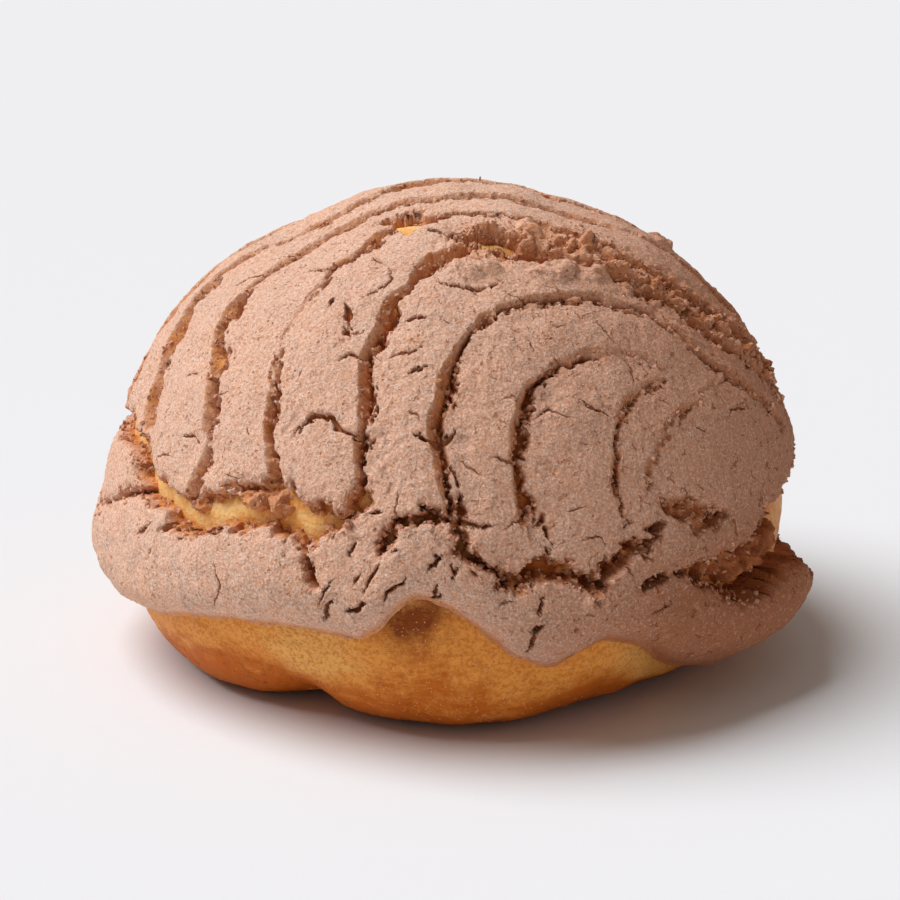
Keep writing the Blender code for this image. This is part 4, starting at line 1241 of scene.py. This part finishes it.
class CONCHA_OT_make_crust(bpy.types.Operator):
    """Make the cracked crust of sugar paste, in four pieces from the crown down to the band"""

    bl_idname = "concha.make_crust"
    bl_label = "Make the sugar crust"

    def execute(self, context):
        remove_old(*(name for name, _ in CRUST_PIECES))
        rows = round(math.radians(USUAL_EDGE) * CRUST_RADIUS / ROW_STEP)
        shell, rings, edge, values = self.make_face(rows, context.scene.concha_sizes)
        bands = [fan(rings[0][0], rings[1], True)]
        bands += [strip(upper, lower) for upper, lower in zip(rings[1:], rings[2:])]
        seams = {0: (None, rings[0])}
        for _, share in CRUST_PIECES[:-1]:
            row = round(rows * share)
            seams[row] = sink(shell, row / rows, rings[row], values)
        seams[rows] = roll_edge(shell, *edge, rings[-1])
        shapes, first = [], 0
        for name, share in CRUST_PIECES:
            last = round(rows * share)
            faces = bands[first:last] + [seams[last][0]]
            if first:
                faces += [seams[first][0][:, ::-1], self.line(shell, first / rows, share, seams[first][1],
                                                              seams[last][1], values)]
            else:
                pole = shell.add(np.array([[0.0, 0.0, BUN_RADIUS - 3.0]]), nothing(values, 1))
                middle = hidden_ring(shell, share / 2, INNER_COLUMNS, DEEPEST, values)
                faces += [fan(pole[0], middle, False), strip(middle, seams[last][1])[:, ::-1]]
            shapes.append((name, np.concatenate(faces)))
            first = last
        points = shell.points()
        normals = corner_normals(points, np.concatenate([faces for _, faces in shapes]))
        numbers = {key: np.concatenate([part[key] for part in shell.values]) for key in values}
        finish = paste_finish(context.scene.concha_finish)
        for name, faces in shapes:
            piece = make_piece(name, points, faces, numbers, normals)
            piece.data.materials.append(finish)
            settle(piece, "topping")
        return {"FINISHED"}

    @staticmethod
    def make_face(rows, sizes):
        """The rings of the crust's outer face, what its edge needs, and the values at its vertices."""
        around = [longitudes(columns_at(USUAL_EDGE * row / rows)) for row in range(rows + 1)]
        ends = direction(around[-1], edge_polar(around[-1])) * CRUST_RADIUS
        ragged = 0.8 * layered_noise(ends, 7.0, 4, 33)
        polars = [edge_polar(a) * row / rows for row, a in enumerate(around)]
        for row in range(rows - EDGE_ROWS, rows + 1):
            polars[row] = polars[row] + ragged * (1 - (rows - row) / EDGE_ROWS)
        around[0], polars[0] = np.zeros(1), np.zeros(1)
        radius, values = crust_relief(np.concatenate(around), np.concatenate(polars), sizes)
        shell, rings, start = Shell(), [], 0
        for a, p in zip(around, polars):
            part = slice(start, start + len(a))
            edge_values = {key: numbers[part] for key, numbers in values.items()}
            rings.append(shell.add(direction(a, p) * radius[part][:, None], edge_values))
            start += len(a)
        return shell, rings, (a, p, radius[part], edge_values), values

    @staticmethod
    def line(shell, share, next_share, upper, lower, values):
        """The hidden inside of a piece, between the feet of its two seams."""
        between = (share + min(next_share, INNER_SHARE)) / 2
        middle = hidden_ring(shell, between, INNER_COLUMNS, DEEPEST, values)
        return np.concatenate((strip(upper, middle), strip(middle, lower)))[:, ::-1]


class CONCHA_OT_scatter_crumbs(bpy.types.Operator):
    """Scatter crumbs of paste in the grooves, over the broken edges and on the torn side of the crust"""

    bl_idname = "concha.scatter_crumbs"
    bl_label = "Scatter the crumbs"

    def execute(self, context):
        sizes = context.scene.concha_sizes
        scatter, finish = Scatter("crumb", "crumbly"), crumb_finish(context.scene.concha_finish)
        for number, (source, _) in enumerate(CRUST_PIECES):
            name = source.replace("crust", "crumbs")
            remove_old(name)
            piece = scatter.grow(
                bpy.data.objects[source], name, Density=sizes.crumbs * PER_SQUARE_CM,
                Smallest=sizes.crumb_smallest, Largest=sizes.crumb_largest, Seed=number + 1, Material=finish)
            settle(piece, "topping")
        return {"FINISHED"}


class CONCHA_OT_sprinkle_sugar(bpy.types.Operator):
    """Sprinkle grains of sugar on the band of crust and on the bare dough"""

    bl_idname = "concha.sprinkle_sugar"
    bl_label = "Sprinkle the sugar"

    def execute(self, context):
        sizes = context.scene.concha_sizes
        scatter, finish = Scatter("grain", "sugary"), sugar_finish(context.scene.concha_finish)
        for source, node, slot in (("crust_band", "topping", "sugar_topping"), ("dough", "bun", "dough")):
            name = "sugar_on_" + source
            remove_old(name)
            piece = scatter.grow(
                bpy.data.objects[source], name, Density=sizes.grains * PER_SQUARE_CM,
                Smallest=sizes.grain_smallest, Largest=sizes.grain_largest, Seed=len(name), Material=finish)
            settle(piece, node)
        return {"FINISHED"}


class CONCHA_OT_set_stage(bpy.types.Operator):
    """Set the pale floor, the studio light and the camera"""

    bl_idname = "concha.set_stage"
    bl_label = "Set the stage"

    def execute(self, context):
        scene = context.scene
        remove_old("floor", "key light", "camera")
        mesh = bpy.data.meshes.new("floor")
        corners = ((-1, -1), (1, -1), (1, 1), (-1, 1))
        mesh.from_pydata([(x * FLOOR_HALF, y * FLOOR_HALF, 0) for x, y in corners], [], [(0, 1, 2, 3)])
        floor = bpy.data.objects.new("floor", mesh)
        scene.collection.objects.link(floor)
        made = Finish("pale floor")
        made.feed("Base Color", FLOOR_TINT)
        made.feed("Roughness", 0.9)
        made.feed("Specular IOR Level", 0.1)
        mesh.materials.append(made.material)

        world = bpy.data.worlds.new("studio")
        world.use_nodes = True
        background = world.node_tree.nodes["Background"]
        background.inputs["Color"].default_value = STUDIO_TINT
        background.inputs["Strength"].default_value = STUDIO_STRENGTH
        scene.world = world

        light = bpy.data.lights.new("key light", "SUN")
        light.energy = KEY_STRENGTH
        light.color = KEY_TINT
        light.angle = math.radians(KEY_SIZE)
        key = bpy.data.objects.new("key light", light)
        scene.collection.objects.link(key)
        key.rotation_mode = "QUATERNION"
        key.rotation_quaternion = Vector(KEY_FROM).to_track_quat("Z", "Y")

        target = Vector((*DOME_CENTRE, TARGET_HEIGHT)) * MM
        tilt = math.radians(CAMERA_TILT)
        back = Vector((0.0, -math.cos(tilt), math.sin(tilt)))
        lens = bpy.data.cameras.new("camera")
        lens.lens = LENS
        lens.sensor_width = SENSOR
        lens.clip_start = 0.01
        camera = bpy.data.objects.new("camera", lens)
        scene.collection.objects.link(camera)
        camera.location = target + back * CAMERA_DISTANCE * MM
        camera.rotation_euler = (-back).to_track_quat("-Z", "Y").to_euler()
        scene.camera = camera
        scene.view_settings.view_transform = "Standard"
        return {"FINISHED"}


class CONCHA_PT_panel(bpy.types.Panel):
    bl_label = "Concha"
    bl_idname = "CONCHA_PT_panel"
    bl_space_type = "VIEW_3D"
    bl_region_type = "UI"
    bl_category = "Concha"

    def draw(self, context):
        layout = self.layout
        for operator in OPERATORS:
            layout.operator(operator.bl_idname)
        for group in (context.scene.concha_sizes, context.scene.concha_finish):
            for name in group.__annotations__:
                layout.prop(group, name)


OPERATORS = (
    CONCHA_OT_make_dough, CONCHA_OT_make_crust, CONCHA_OT_scatter_crumbs, CONCHA_OT_sprinkle_sugar,
    CONCHA_OT_set_stage,
)
CLASSES = (ConchaSizes, ConchaFinish, *OPERATORS, CONCHA_PT_panel)


def register():
    for made in CLASSES:
        bpy.utils.register_class(made)
    bpy.types.Scene.concha_sizes = bpy.props.PointerProperty(type=ConchaSizes)
    bpy.types.Scene.concha_finish = bpy.props.PointerProperty(type=ConchaFinish)


def unregister():
    del bpy.types.Scene.concha_finish
    del bpy.types.Scene.concha_sizes
    for made in reversed(CLASSES):
        bpy.utils.unregister_class(made)


def main():
    register()
    bpy.ops.concha.set_stage()
    bpy.ops.concha.make_dough()
    bpy.ops.concha.make_crust()
    bpy.ops.concha.scatter_crumbs()
    bpy.ops.concha.sprinkle_sugar()


if __name__ == "__main__":
    main()
